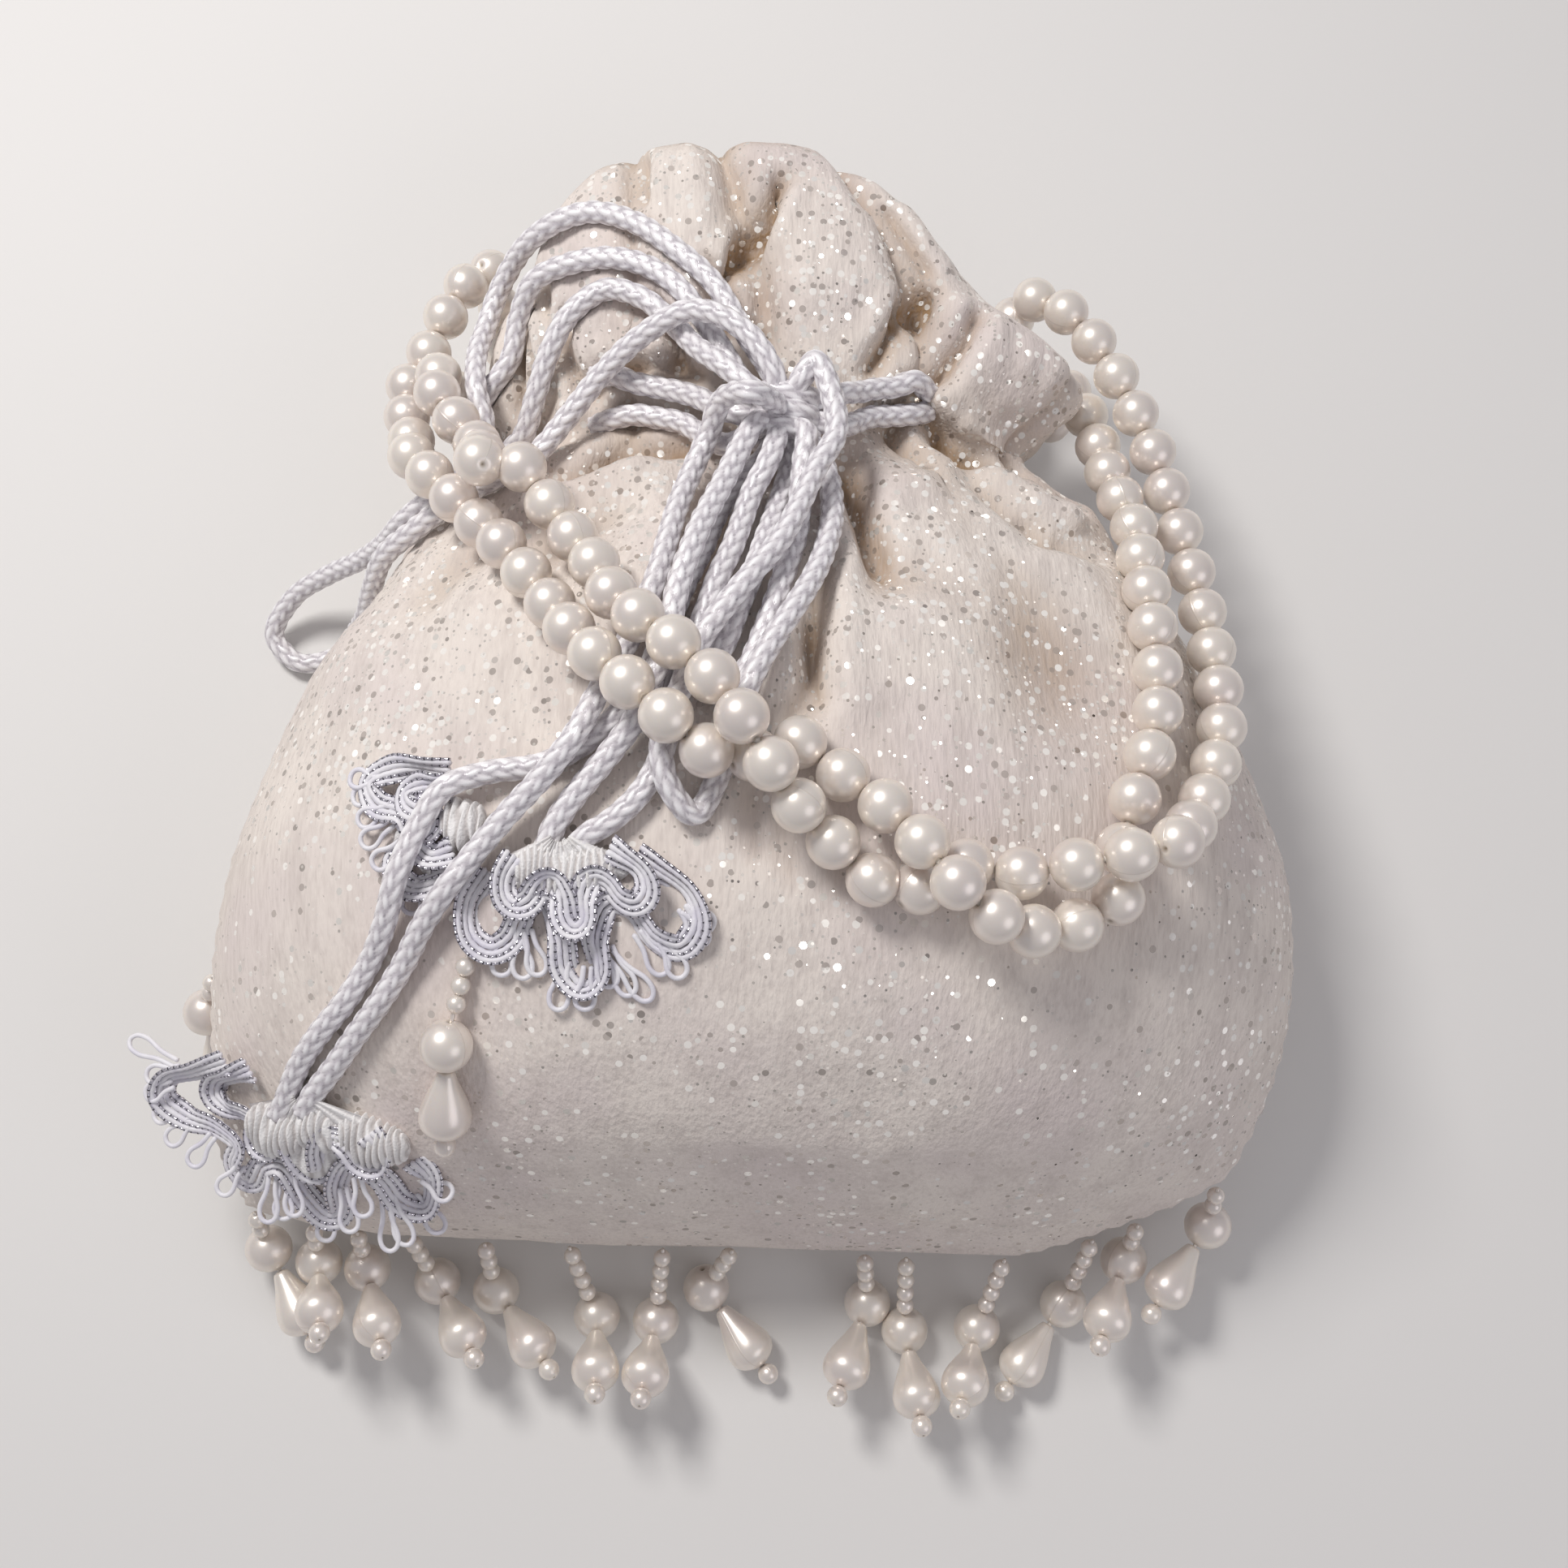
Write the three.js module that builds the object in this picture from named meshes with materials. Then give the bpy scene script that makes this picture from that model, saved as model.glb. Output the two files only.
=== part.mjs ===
// A small drawstring pouch of padded velvet, lying on its back on a table.
// Millimetres. +X is right, +Y runs from the bottom seam to the gathered mouth, +Z is up from the table.
// The origin is the middle of the flat patch on which the back panel rests.

import * as THREE from "three";

// Overall sizes
const belly_width = 178;
const belly_thickness = 70;
const body_length = 131;
const neck_width = 90;
const neck_thickness = 44;
const neck_height = 30;
const frill_length = 51.5;
const frill_width = 101;
const frill_thickness = 56;
const seam_height = 15;
const seam_tilt = 0.028;
const cord_diameter = 3.8;
const pearl_diameter = 8;
const seed_diameter = 3;
const stopper_diameter = 3.5;
const teardrop_length = 11.8;
const thread_diameter = 1;
const trim_diameter = 3;

// The bottom seam lies this far below the origin, and the neck one body length above it
const seam_y = -66.5;
const neck_y = seam_y + body_length;

// How finely the cloth, the cords and the beads are divided
const cloth_sides = 44;
const cord_sides = 8;
const cord_step = 5;
const bead_sides = 6;
const bead_ring_place = 0.8;
const bead_ring_share = 0.6;
const thread_start = 0.3;
const knot_sides = 14;
const knot_rings = 9;
const cup_sides = 12;
const cup_rings = 6;

// The back panel would hang this far below the table, which presses it flat
const back_sag = 12;
const least_height = 0.5;
const neck_fold_strength = 0.7;

// Body profile from the bottom seam to the neck.
// Each row: how far along the body, share of the belly's half width, share of the neck's half width,
// share of the belly's rise, share of the neck's rise, share of the way from the seam's height
// to the neck's, shift to the right
const body_profile = [
  [0.0, 0.53, 0, 0.02, 0, 0, -3],
  [0.012, 0.68, 0, 0.15, 0, 0.03, -10],
  [0.03, 0.8, 0, 0.29, 0, 0.07, -13],
  [0.055, 0.865, 0, 0.42, 0, 0.16, -10],
  [0.095, 0.935, 0, 0.55, 0, 0.33, -6],
  [0.13, 0.96, 0, 0.65, 0, 0.46, -4.5],
  [0.185, 0.98, 0, 0.76, 0, 0.64, -3],
  [0.26, 0.995, 0, 0.87, 0, 0.82, -1.5],
  [0.36, 1.0, 0, 0.96, 0, 0.95, -0.5],
  [0.47, 0.985, 0, 1.0, 0, 1, 0],
  [0.56, 0.945, 0, 1.0, 0, 1, 0],
  [0.65, 0.89, 0, 0.98, 0, 1, 0],
  [0.74, 0.7, 0.26, 0.8, 0.26, 1, 0],
  [0.82, 0.48, 0.53, 0.55, 0.53, 1, 0],
  [0.88, 0.31, 0.75, 0.34, 0.75, 1, 0],
  [0.93, 0.19, 0.9, 0.18, 0.88, 1, 0],
  [0.97, 0.07, 0.97, 0.06, 0.97, 1, 0],
  [1.0, 0, 1.0, 0, 1.0, 1, 0],
];

// Frill profile from the neck over the rim and down the closed funnel inside it.
// Each row: how far along the frill, share of its half width, share of its half thickness,
// share of the rim's drop at the sides, shift to the right
const frill_profile = [
  [0.06, 0.9, 0.76, 0.02, 0],
  [0.16, 0.96, 0.84, 0.08, 1],
  [0.3, 1.0, 0.92, 0.18, 2.5],
  [0.45, 0.98, 0.97, 0.36, 2],
  [0.62, 0.91, 1.0, 0.58, 0],
  [0.8, 0.84, 0.98, 0.82, -2.5],
  [0.93, 0.77, 0.92, 0.95, -4.5],
  [1.0, 0.68, 0.8, 1.0, -5.5],
  [0.95, 0.6, 0.66, 0.96, -5],
  [0.82, 0.52, 0.5, 0.8, -4],
  [0.64, 0.38, 0.32, 0.45, -2.5],
  [0.46, 0.18, 0.15, 0.15, -1],
];
const rim_row = 7;
const rim_drop = 19;
const rim_drop_power = 4;
const funnel_end = 0.38;

// Folds in the gathered cloth: angle round the neck in degrees (0 right, 90 front) and depth at the rim
const folds = [
  [22, 3.5],
  [58, 6],
  [92, 5],
  [118, 3],
  [152, 4.5],
  [180, 3.5],
  [214, 4],
  [246, 3],
  [281, 4],
  [318, 3.5],
];
const fold_half_angle = 9;
const fold_start = 0.8;

// The lobe of cloth that stands out at the right of the frill
const lobe = { angle: 24, reach: 34, y: neck_y + 15.5, length: 15, height: 6 };

// The back panel carries the bag on a flat patch: below the table the cloth is pressed flat
const table = 0;

function bump(away) {
  return Math.abs(away) < 1 ? (1 - away * away) ** 2 : 0;
}

function fold_depth(angle_degrees, strength) {
  let depth = 0;
  for (const [fold_angle, rim_depth] of folds) {
    const away = ((angle_degrees - fold_angle + 540) % 360) - 180;
    depth += rim_depth * strength * bump(away / fold_half_angle);
  }
  return depth;
}

// One point of the cloth: angle round the section, then the section's own sizes
function cloth_point(angle, section) {
  const { y, centre_x, centre_z, half_width, rise, sag, drop, strength, outside } = section;
  const across = Math.cos(angle);
  const up = Math.sin(angle);
  const degrees = THREE.MathUtils.radToDeg(angle);
  const lobe_share = bump((degrees - lobe.angle) / lobe.reach) * bump((y - lobe.y) / lobe.length);
  const stand_out = outside ? lobe.height * lobe_share : 0;
  const depth = fold_depth(degrees, strength) - stand_out;
  const x = centre_x + across * (half_width - depth);
  const height = up > 0 ? rise - depth : sag - depth;
  const z = centre_z + up * Math.max(height, least_height);
  const tilt = y < 0 ? seam_tilt * x * (y / seam_y) : 0;
  const side_drop = drop * Math.abs(across) ** rim_drop_power;
  return new THREE.Vector3(x, y - tilt - side_drop, Math.max(z, table));
}

function body_section([along, belly, neck, belly_rise, neck_rise, lift, shift]) {
  const centre_z = THREE.MathUtils.lerp(seam_height, neck_height, lift);
  const full_rise = (belly_thickness - neck_height) * belly_rise + (neck_thickness / 2) * neck_rise;
  const full_sag = (neck_height + back_sag) * belly_rise + (neck_thickness / 2) * neck_rise;
  return {
    y: seam_y + body_length * along,
    centre_x: shift,
    centre_z,
    half_width: (belly_width / 2) * belly + (neck_width / 2) * neck,
    rise: full_rise,
    sag: full_sag,
    drop: 0,
    strength: Math.max(0, (along - fold_start) / (1 - fold_start)) * neck_fold_strength,
    outside: true,
  };
}

function frill_section([along, width, thickness, drop, shift], index) {
  const outside = index < rim_row;
  return {
    y: neck_y + frill_length * along,
    centre_x: shift,
    centre_z: neck_height,
    half_width: (frill_width / 2) * width,
    rise: (frill_thickness / 2) * thickness,
    sag: (frill_thickness / 2) * thickness,
    drop: rim_drop * drop,
    strength: neck_fold_strength + (1 - neck_fold_strength) * along,
    outside,
  };
}

function cloth_geometry() {
  const sections = [...body_profile.map(body_section), ...frill_profile.map(frill_section)];
  const rows = sections.length + 1;
  const geometry = new THREE.SphereGeometry(1, cloth_sides, rows);
  const place = geometry.attributes.position;
  const first = new THREE.Vector3(sections[0].centre_x, seam_y, seam_height);
  const last_section = sections[sections.length - 1];
  const last = new THREE.Vector3(last_section.centre_x, neck_y + frill_length * funnel_end, neck_height);
  for (let row = 0; row <= rows; row += 1) {
    for (let side = 0; side <= cloth_sides; side += 1) {
      const index = row * (cloth_sides + 1) + side;
      const angle = ((side % cloth_sides) / cloth_sides) * Math.PI * 2;
      let point = cloth_point(angle, sections[Math.min(Math.max(row - 1, 0), sections.length - 1)]);
      if (row === 0) point = first;
      if (row === rows) point = last;
      place.setXYZ(index, point.x, point.y, point.z);
    }
  }
  geometry.computeVertexNormals();
  return geometry;
}

// A closed body of rings round a path, from a start point to an end point.
// Each ring has a centre, two directions across the path and a radius
function ring_body(start, rings, end, sides) {
  const rows = rings.length + 1;
  const geometry = new THREE.SphereGeometry(1, sides, rows);
  const place = geometry.attributes.position;
  for (let row = 0; row <= rows; row += 1) {
    for (let side = 0; side <= sides; side += 1) {
      const angle = ((side % sides) / sides) * Math.PI * 2;
      const point = row === 0 ? start.clone() : end.clone();
      if (row > 0 && row < rows) {
        const { centre, first, second, radius } = rings[row - 1];
        point.copy(centre);
        point.addScaledVector(first, Math.cos(angle) * radius);
        point.addScaledVector(second, -Math.sin(angle) * radius);
      }
      place.setXYZ(row * (sides + 1) + side, point.x, point.y, point.z);
    }
  }
  geometry.computeVertexNormals();
  return geometry;
}

function curve_through(points) {
  return new THREE.CatmullRomCurve3(points.map(([x, y, z]) => new THREE.Vector3(x, y, z)));
}

// A round tube along a route
function tube_geometry(points, diameter) {
  const path = curve_through(points);
  const section = new THREE.Shape();
  for (let side = 0; side < cord_sides; side += 1) {
    const angle = (side / cord_sides) * Math.PI * 2;
    const across = (Math.cos(angle) * diameter) / 2;
    const up = (Math.sin(angle) * diameter) / 2;
    if (side === 0) section.moveTo(across, up);
    else section.lineTo(across, up);
  }
  section.closePath();
  const steps = Math.max(4, Math.round(path.getLength() / cord_step));
  return new THREE.ExtrudeGeometry(section, { steps, extrudePath: path });
}

// The drawcord's runs between the knot and the neck
const neck_cord_routes = {
  neck_cord_left_upper: [
    [-23.5, 74, 52], [-20, 72.5, 52.5], [-16.5, 71.5, 53], [-12.5, 70, 54.5], [-9, 68, 56.5],
    [-6, 65.5, 58.5], [-2.3, 64, 59.5],
  ],
  neck_cord_left_lower: [
    [-23.5, 67.5, 49.5], [-20, 67.5, 51], [-16, 66.5, 52], [-12, 65, 53.5], [-8.5, 62, 55.5],
    [-5, 59.5, 58], [-1.7, 60, 59.5],
  ],
  neck_cord_right_upper: [
    [10.5, 66.5, 59.5], [14, 68, 58.5], [16.5, 69.5, 55.5], [19.5, 71, 53.5], [23, 72, 52],
    [26, 73.5, 51],
  ],
  neck_cord_right_lower: [
    [11.2, 62.5, 59.5], [14, 62.5, 58.5], [16, 64.5, 55], [18.5, 66.5, 52.5], [21.5, 67.5, 50.5],
    [25, 68.5, 48.7],
  ],
};

// Both loops of the bow, out from the knot, over the frill and the shoulder, and back
const bow_loop_routes = {
  bow_loop_long: [
    [2.5, 70.7, 59.5], [-2, 78.5, 59], [-7, 87, 59], [-13.5, 93.5, 58.5], [-20.5, 99.5, 56],
    [-27.5, 102.4, 53.8], [-33.5, 101.9, 51.6], [-38.7, 100.6, 47.2], [-42.3, 98.8, 42.3],
    [-45.2, 94.8, 39.2], [-47, 89, 38.8], [-48, 82.5, 41.5], [-47.5, 75.5, 44], [-46, 68.5, 43],
    [-48.5, 61.5, 41.5], [-54, 57.5, 41], [-60, 54.5, 37], [-65, 53.5, 28.5], [-71, 53, 20.5],
    [-78, 52.5, 14], [-86, 50, 8], [-90.5, 44, 3.5], [-86, 39, 2.5], [-78.5, 40, 3.5], [-74, 42, 10.5],
    [-70, 43, 19.5], [-67, 45, 28.5], [-63, 48, 37.5], [-57, 50.5, 43], [-51.5, 53.5, 46],
    [-46, 55.5, 49], [-41, 57.5, 50.7], [-36, 60.5, 51.5], [-31, 66, 53], [-25, 72.5, 56],
    [-18, 77.5, 60], [-10, 80, 63.5], [-2, 76, 65], [2.8, 69.3, 64.1],
  ],
  bow_loop_short: [
    [-1.4, 68.4, 59.5], [-4.5, 74, 58.5], [-8, 80, 58], [-12, 86, 58], [-17.5, 91, 56.5],
    [-24, 93.5, 55], [-31, 93.5, 53], [-37.5, 92, 49.5], [-40.5, 87.5, 45], [-42, 81.5, 42.5],
    [-46, 76.5, 40], [-49.7, 72.5, 35.3], [-48.5, 66.5, 34], [-44, 65, 39], [-39.5, 67, 43],
    [-37, 72.5, 47], [-34.5, 79, 50], [-31, 84.5, 52.5], [-25, 88, 54.5], [-18.5, 85.5, 56.5],
    [-13.5, 80.5, 57.5], [-9.5, 75, 60.5], [-5, 70.5, 63.5], [-0.8, 66.6, 64],
  ],
};

// Both loops that hang from the knot down the front panel
const front_loop_routes = {
  front_loop_long: [
    [7.2, 68, 64], [9.5, 70.5, 65], [12, 64.5, 65.5], [12.5, 57.5, 67], [9.5, 51.5, 68.5],
    [7, 45, 70.5], [4, 38.5, 72.5], [0, 33, 74], [-4, 27.5, 75], [-8, 21.5, 75.5], [-10.5, 14.5, 76],
    [-13, 8, 76.5], [-12.5, 1, 75.5], [-8.5, -3.5, 72.5], [-5, 2.5, 72], [-3, 9, 74], [-0.5, 15.5, 76],
    [2.5, 21.5, 75], [6, 27.5, 73.5], [9, 33.5, 70.5], [11, 39.5, 67.5], [12, 46, 64],
    [11.5, 52.5, 61], [9.5, 58.2, 59.5],
  ],
  front_loop_short: [
    [5.5, 56.2, 59.5], [4.5, 51, 61], [3, 45.5, 63.5], [1.5, 40.5, 66], [0, 35, 68.5], [-2, 29.5, 70],
    [-4, 23.5, 71], [-6.3, 18, 71.5], [-4, 14, 72], [-0.7, 19, 71.5], [1.5, 24.5, 71], [3.5, 30.5, 70],
    [5, 36, 68.5], [6.5, 42, 66.5], [7, 48, 65], [7.5, 54, 64.7], [8, 58.8, 64],
  ],
};

// The drawcord's four tails, two to each rosette
const tail_routes = {
  tail_near_left: [
    [3, 63.5, 65.3], [-0.5, 62.5, 71.5], [-5, 63.5, 66.5], [-7.5, 59.5, 61.5], [-10, 53.5, 61.5],
    [-12, 47, 64], [-13.5, 40, 66.5], [-15, 33.5, 68.5], [-17.5, 26.5, 70], [-20, 20, 72],
    [-23, 14, 73.5], [-26, 7.5, 75], [-30.5, 2, 73.5], [-35.5, -3, 71.5], [-40, -8, 70],
    [-44.5, -13.5, 69], [-48.5, -18.5, 65.5], [-52, -24, 61.5], [-56, -29.5, 58.5], [-60, -34, 55],
    [-64, -38.5, 51], [-68, -42.5, 47],
  ],
  tail_near_right: [
    [1.5, 56.8, 59.5], [-3, 51.5, 61], [-6, 45.5, 63.5], [-8, 39, 66.5], [-10.5, 32.5, 69],
    [-13, 25.5, 70], [-15.5, 19, 70.5], [-19.5, 12.5, 71], [-25, 7.5, 70.5], [-31.5, 4.5, 69.5],
    [-39, 3.5, 69], [-45.5, 1, 69.5], [-49.5, -5, 68.5], [-52.5, -12, 67.4], [-54.5, -18, 64],
    [-57.5, -23.5, 59.5], [-61.5, -29, 56.5], [-66, -33.5, 53], [-70, -38, 48.5], [-73, -43, 44],
  ],
  tail_far_left: [
    [0, 60.6, 64], [-2, 56.5, 65.5], [-4, 51.5, 67], [-6, 46.5, 69], [-8, 41.5, 71], [-9.5, 36.5, 73],
    [-11, 31.5, 74], [-12, 26, 75], [-13, 20.5, 75], [-15, 15.5, 75], [-17, 10.5, 74.5],
    [-20.5, 6, 73], [-23.5, 2.5, 72], [-26.5, -1, 71], [-29, -4.5, 70],
  ],
  tail_far_right: [
    [3.3, 58, 63.8], [2, 53.5, 65.5], [-0.5, 48.5, 65.5], [-2, 43.5, 66.5], [-3.5, 38.5, 68],
    [-5.5, 33.5, 69.5], [-7, 28.5, 70.5], [-9, 23, 71], [-11, 18, 71.5], [-12, 12.5, 71.5],
    [-13, 7, 72], [-15, 2, 72], [-17.5, -1.5, 72], [-21, -4.5, 71.5], [-24.5, -6.5, 70.5],
  ],
};

// Both strands of the pearl handle, from the left side of the neck to the right side
const strand_routes = {
  handle_strand_a: [
    [-47, 60, 14], [-47.5, 70.5, 9.5], [-47.5, 81, 7.5], [-48, 92.5, 9], [-48.5, 101.5, 14.5],
    [-49, 107, 24], [-54, 99.5, 29.5], [-57.5, 89, 31.5], [-61.5, 78.5, 34], [-59, 69, 39.5],
    [-57, 61.5, 47.5], [-51, 54.5, 53.5], [-45, 47.5, 57.5], [-38, 39.5, 64], [-31.5, 30.5, 68.5],
    [-26, 22.5, 75.5], [-19.5, 15.5, 81], [-11.5, 8, 83.5], [-3.5, 3, 79], [6, 7, 74.5],
    [13.5, 1.5, 74.5], [21.5, -5.5, 77.5], [28.5, -14.5, 80.5], [36.5, -20, 75.5], [44, -20, 69.5],
    [53, -16, 67.2], [54.5, -8, 65.5], [57, 0.5, 65], [61, 11, 62], [62.5, 21.5, 58.5], [62.5, 32, 55],
    [62.5, 42, 49.5], [62.5, 51.5, 43.5], [60.5, 60.5, 37.5], [59.5, 69.5, 31.5], [57.5, 79.5, 26.5],
    [55.2, 84.5, 22], [53.2, 80.5, 18],
  ],
  handle_strand_b: [
    [-50.5, 66, 26], [-51.5, 77, 29.5], [-54.5, 80, 38.5], [-53, 72, 47], [-46.5, 63.5, 50.5],
    [-44, 58.5, 57], [-42, 53, 66.5], [-35.5, 53, 63.5], [-30.5, 44.5, 64.5], [-25, 37, 69.5],
    [-20.5, 28.5, 75.5], [-14, 22, 81.5], [-6, 14.5, 84], [0, 5.5, 86.5], [5.5, -2.5, 81],
    [12.5, -9, 75], [21.5, -15.5, 72.5], [28.5, -11, 71.5], [39.5, -12, 71.5], [49.5, -10.5, 73.5],
    [60.5, -8, 72.5], [66, -2.5, 63.5], [70.5, 5.5, 57.5], [73.5, 15, 52.5], [74, 25.5, 47.5],
    [73.5, 35.5, 43.5], [72, 46.5, 40.5], [70, 57, 38.5], [67.5, 68, 36.5], [64, 78, 35],
    [59.5, 88, 33.5], [53, 97, 30.5], [47, 100.5, 24], [47, 93, 15], [46.5, 82.5, 11.5],
    [46.5, 71.5, 12], [48, 63, 15],
  ],
};

// The knot lies on the neck, over the cords that run round it
const knot_lift = 7.5;
const knot = {
  centre: [4.5, neck_y - 1, neck_height + neck_thickness / 2 + knot_lift],
  half: [6.3, 6.6, 5.4],
};

// Both rosettes, sewn to the ends of the tails
const trim_routes = {
  rosette_near_trim: [
    [-83.5, -37.5, 41.5], [-90, -38.5, 36.5], [-95, -39.5, 34], [-96, -42.5, 32], [-92, -45.5, 31.5],
    [-87, -47, 33.5], [-83, -50, 34], [-84.5, -53, 30.5], [-82, -56, 28.5], [-78.5, -53, 33.5],
    [-75, -53, 35.5], [-72.5, -58, 30.5], [-69.5, -61.5, 26.5], [-67, -60.5, 28.5], [-66.5, -56, 34.5],
    [-63.5, -53, 38.5], [-59, -55, 37.5], [-56.5, -59, 32.5], [-53, -60, 31.5], [-51, -55, 38.5],
    [-53, -52.5, 41.5],
  ],
  rosette_far_trim: [
    [-39, -11, 67], [-42, -15.5, 65.5], [-41.5, -20.5, 65], [-38.5, -22.5, 65], [-35.5, -21, 66],
    [-33.5, -17, 67.5], [-30.5, -15.5, 68], [-28, -20.5, 67.5], [-27.5, -25.5, 65], [-25, -28, 64.5],
    [-22.5, -26, 65.5], [-23, -20.5, 68], [-21, -16, 69], [-17.5, -17, 69], [-14.5, -21, 68.5],
    [-10.5, -22.5, 68], [-8, -19.5, 69.5], [-9.5, -14.5, 70], [-14.5, -11, 70.5], [-17, -9.5, 70.5],
  ],
  rosette_far_side_trim: [
    [-45.5, 4, 65.5], [-52.5, 5.5, 63.5], [-58.5, 3.5, 61.5], [-57, 0, 62], [-52, -2, 64],
    [-50.5, -5.5, 64.5], [-54, -9, 62.8], [-51, -13, 63.5], [-45, -12, 65],
  ],
};

// Gathered cloth of the rosettes: its place on the front panel, half length, half width,
// tilt up toward the mouth, tilt to the side. A place is a share of the way along the body,
// a share of its half width across it, and a lift above the cloth
const cup_half_thickness = 1.8;
const cups = {
  rosette_near_cup_right: { centre: on_front(0.1298, -0.6437, 2.04), half: [5.5, 3], tilt: [42, -15] },
  rosette_near_cup_middle: { centre: on_front(0.145, -0.7438, 2.28), half: [2.6, 2.6], tilt: [42, -17] },
  rosette_near_cup_left: { centre: on_front(0.1412, -0.831, 2.39), half: [4.3, 3], tilt: [42, -22] },
  rosette_far_cup: { centre: on_front(0.4237, -0.3093, 2.12), half: [7, 2.7], tilt: [11, -8] },
  rosette_far_side_cup: { centre: on_front(0.4771, -0.4898, 2.33), half: [2.6, 2.4], tilt: [3, -14] },
};

// Pearl drops of the fringe. Each row: name, share of the way round the seam from the left shoulder
// to the right one, number of seed pearls, heading of the seed pearls and of the teardrop in degrees
// from straight down toward the right, rise of the teardrop in degrees
const fringe = [
  ["side", 0.015, 2, -32, 6, -54],
  ["a", 0.182, 2, 4, 28, -5],
  ["b", 0.222, 2, -8, 20, 50],
  ["c", 0.252, 2, 1, 23, 40],
  ["d", 0.288, 3, 21, 35, 35],
  ["e", 0.338, 3, 4, 40, 25],
  ["f", 0.395, 4, 18, 6, 50],
  ["g", 0.458, 4, -8, -7, 50],
  ["h", 0.505, 3, -36, 37, 0],
  ["i", 0.594, 3, 6, -21, 30],
  ["j", 0.622, 4, 1, 8, 35],
  ["k", 0.688, 4, -18, -20, 45],
  ["l", 0.748, 4, -18, -36, 0],
  ["m", 0.78, 2, -10, -25, 35],
  ["n", 0.838, 2, 0, -35, 0],
];
const seam_rows = 9;
const stitch_gap = 0.6;
const steepest_fall = 0.82;
const first_seed = 2;
const seed_pitch = 2.9;
const pearl_gap = 0.3;
const resting_height = pearl_diameter / 2 + 0.1;

// Teardrop profile from the tip: place along its length as a share, radius as a share of a pearl's
const teardrop_profile = [
  [0.02, 0.3],
  [0.2, 0.5],
  [0.42, 0.78],
  [0.64, 0.99],
  [0.8, 0.96],
  [0.94, 0.6],
];

// The pearl drop that hangs from the far rosette: its stitch, and the way from there to the pearl
// and from the pearl down the teardrop
const rosette_drop = {
  root: on_front(0.3336, -0.4639, 2.29),
  to_pearl: [-3.5, -13.2, -4.2],
  down_teardrop: [-0.8, -7.5, -5.5],
};
const rosette_drop_seeds = 3;

// A place on the front panel
function on_front(along, across, lift) {
  const next = body_profile.findIndex((row) => row[0] > along);
  const before = body_profile[next - 1];
  const after = body_profile[next];
  const share = (along - before[0]) / (after[0] - before[0]);
  const row = before.map((value, column) => THREE.MathUtils.lerp(value, after[column], share));
  const section = body_section(row);
  const height = section.rise * Math.sqrt(1 - across * across);
  return [section.centre_x + section.half_width * across, section.y, section.centre_z + height + lift];
}

// The seam from the left shoulder round the bottom to the right shoulder
function seam_curve() {
  const sections = body_profile.slice(0, seam_rows).map(body_section);
  const left = sections.map((section) => cloth_point(Math.PI, section)).reverse();
  const right = sections.map((section) => cloth_point(0, section));
  const bottom = new THREE.Vector3(sections[0].centre_x, seam_y, seam_height);
  return new THREE.CatmullRomCurve3([...left, bottom, ...right]);
}

// Rings of one bead: how far along, and the radius there
function bead_rings(middle, radius) {
  const outer = radius * bead_ring_place;
  return [
    [middle - outer, radius * bead_ring_share],
    [middle, radius],
    [middle + outer, radius * bead_ring_share],
  ];
}

function rings_along(start, direction, list) {
  const first = new THREE.Vector3().crossVectors(direction, new THREE.Vector3(0, 0, 1)).normalize();
  const second = new THREE.Vector3().crossVectors(direction, first);
  return list.map(([along, radius]) => {
    const centre = start.clone().addScaledVector(direction, along);
    return { centre, first, second, radius };
  });
}

// A drop of seed pearls, a round pearl, a teardrop and a stopper, strung on one thread
function drop_geometry(root, pearl, teardrop, seeds) {
  const upper = pearl.clone().sub(root).normalize();
  const lower = teardrop.clone().sub(pearl).normalize();
  const middle = upper.clone().add(lower).normalize();
  const radius = pearl_diameter / 2;
  const strung = [[thread_start, thread_diameter / 2]];
  for (let seed = 0; seed < seeds; seed += 1) {
    strung.push(...bead_rings(first_seed + seed * seed_pitch, seed_diameter / 2));
  }
  const tip = radius + pearl_gap;
  const hung = teardrop_profile.map(([along, share]) => [tip + along * teardrop_length, share * radius]);
  const stopper = tip + teardrop_length + stopper_diameter / 2;
  hung.push(...bead_rings(stopper, stopper_diameter / 2));
  const rings = [
    ...rings_along(root, upper, strung),
    ...rings_along(pearl, middle, bead_rings(0, radius)),
    ...rings_along(pearl, lower, hung),
  ];
  const end = pearl.clone().addScaledVector(lower, stopper + stopper_diameter / 2);
  return ring_body(root, rings, end, bead_sides);
}

// How far the round pearl hangs from the stitch
function hang_length(seeds) {
  return first_seed + (seeds - 1) * seed_pitch + seed_diameter / 2 + pearl_gap + pearl_diameter / 2;
}

function fringe_drop(seam, [, share, seeds, heading, teardrop_heading, teardrop_rise]) {
  const tangent = seam.getTangentAt(share);
  const outward = new THREE.Vector3(tangent.y, -tangent.x, 0).normalize();
  const root = seam.getPointAt(share).addScaledVector(outward, stitch_gap);
  const hang = hang_length(seeds);
  const fall = Math.min(root.z - resting_height, hang * steepest_fall);
  const flat = Math.sqrt(hang * hang - fall * fall);
  const turn = THREE.MathUtils.degToRad(heading);
  const pearl = root.clone().add(new THREE.Vector3(Math.sin(turn) * flat, -Math.cos(turn) * flat, -fall));
  const tear_turn = THREE.MathUtils.degToRad(teardrop_heading);
  const rise = THREE.MathUtils.degToRad(teardrop_rise);
  const level = Math.cos(rise);
  const teardrop = pearl.clone();
  teardrop.add(new THREE.Vector3(Math.sin(tear_turn) * level, -Math.cos(tear_turn) * level, Math.sin(rise)));
  return drop_geometry(root, pearl, teardrop, seeds);
}

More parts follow.
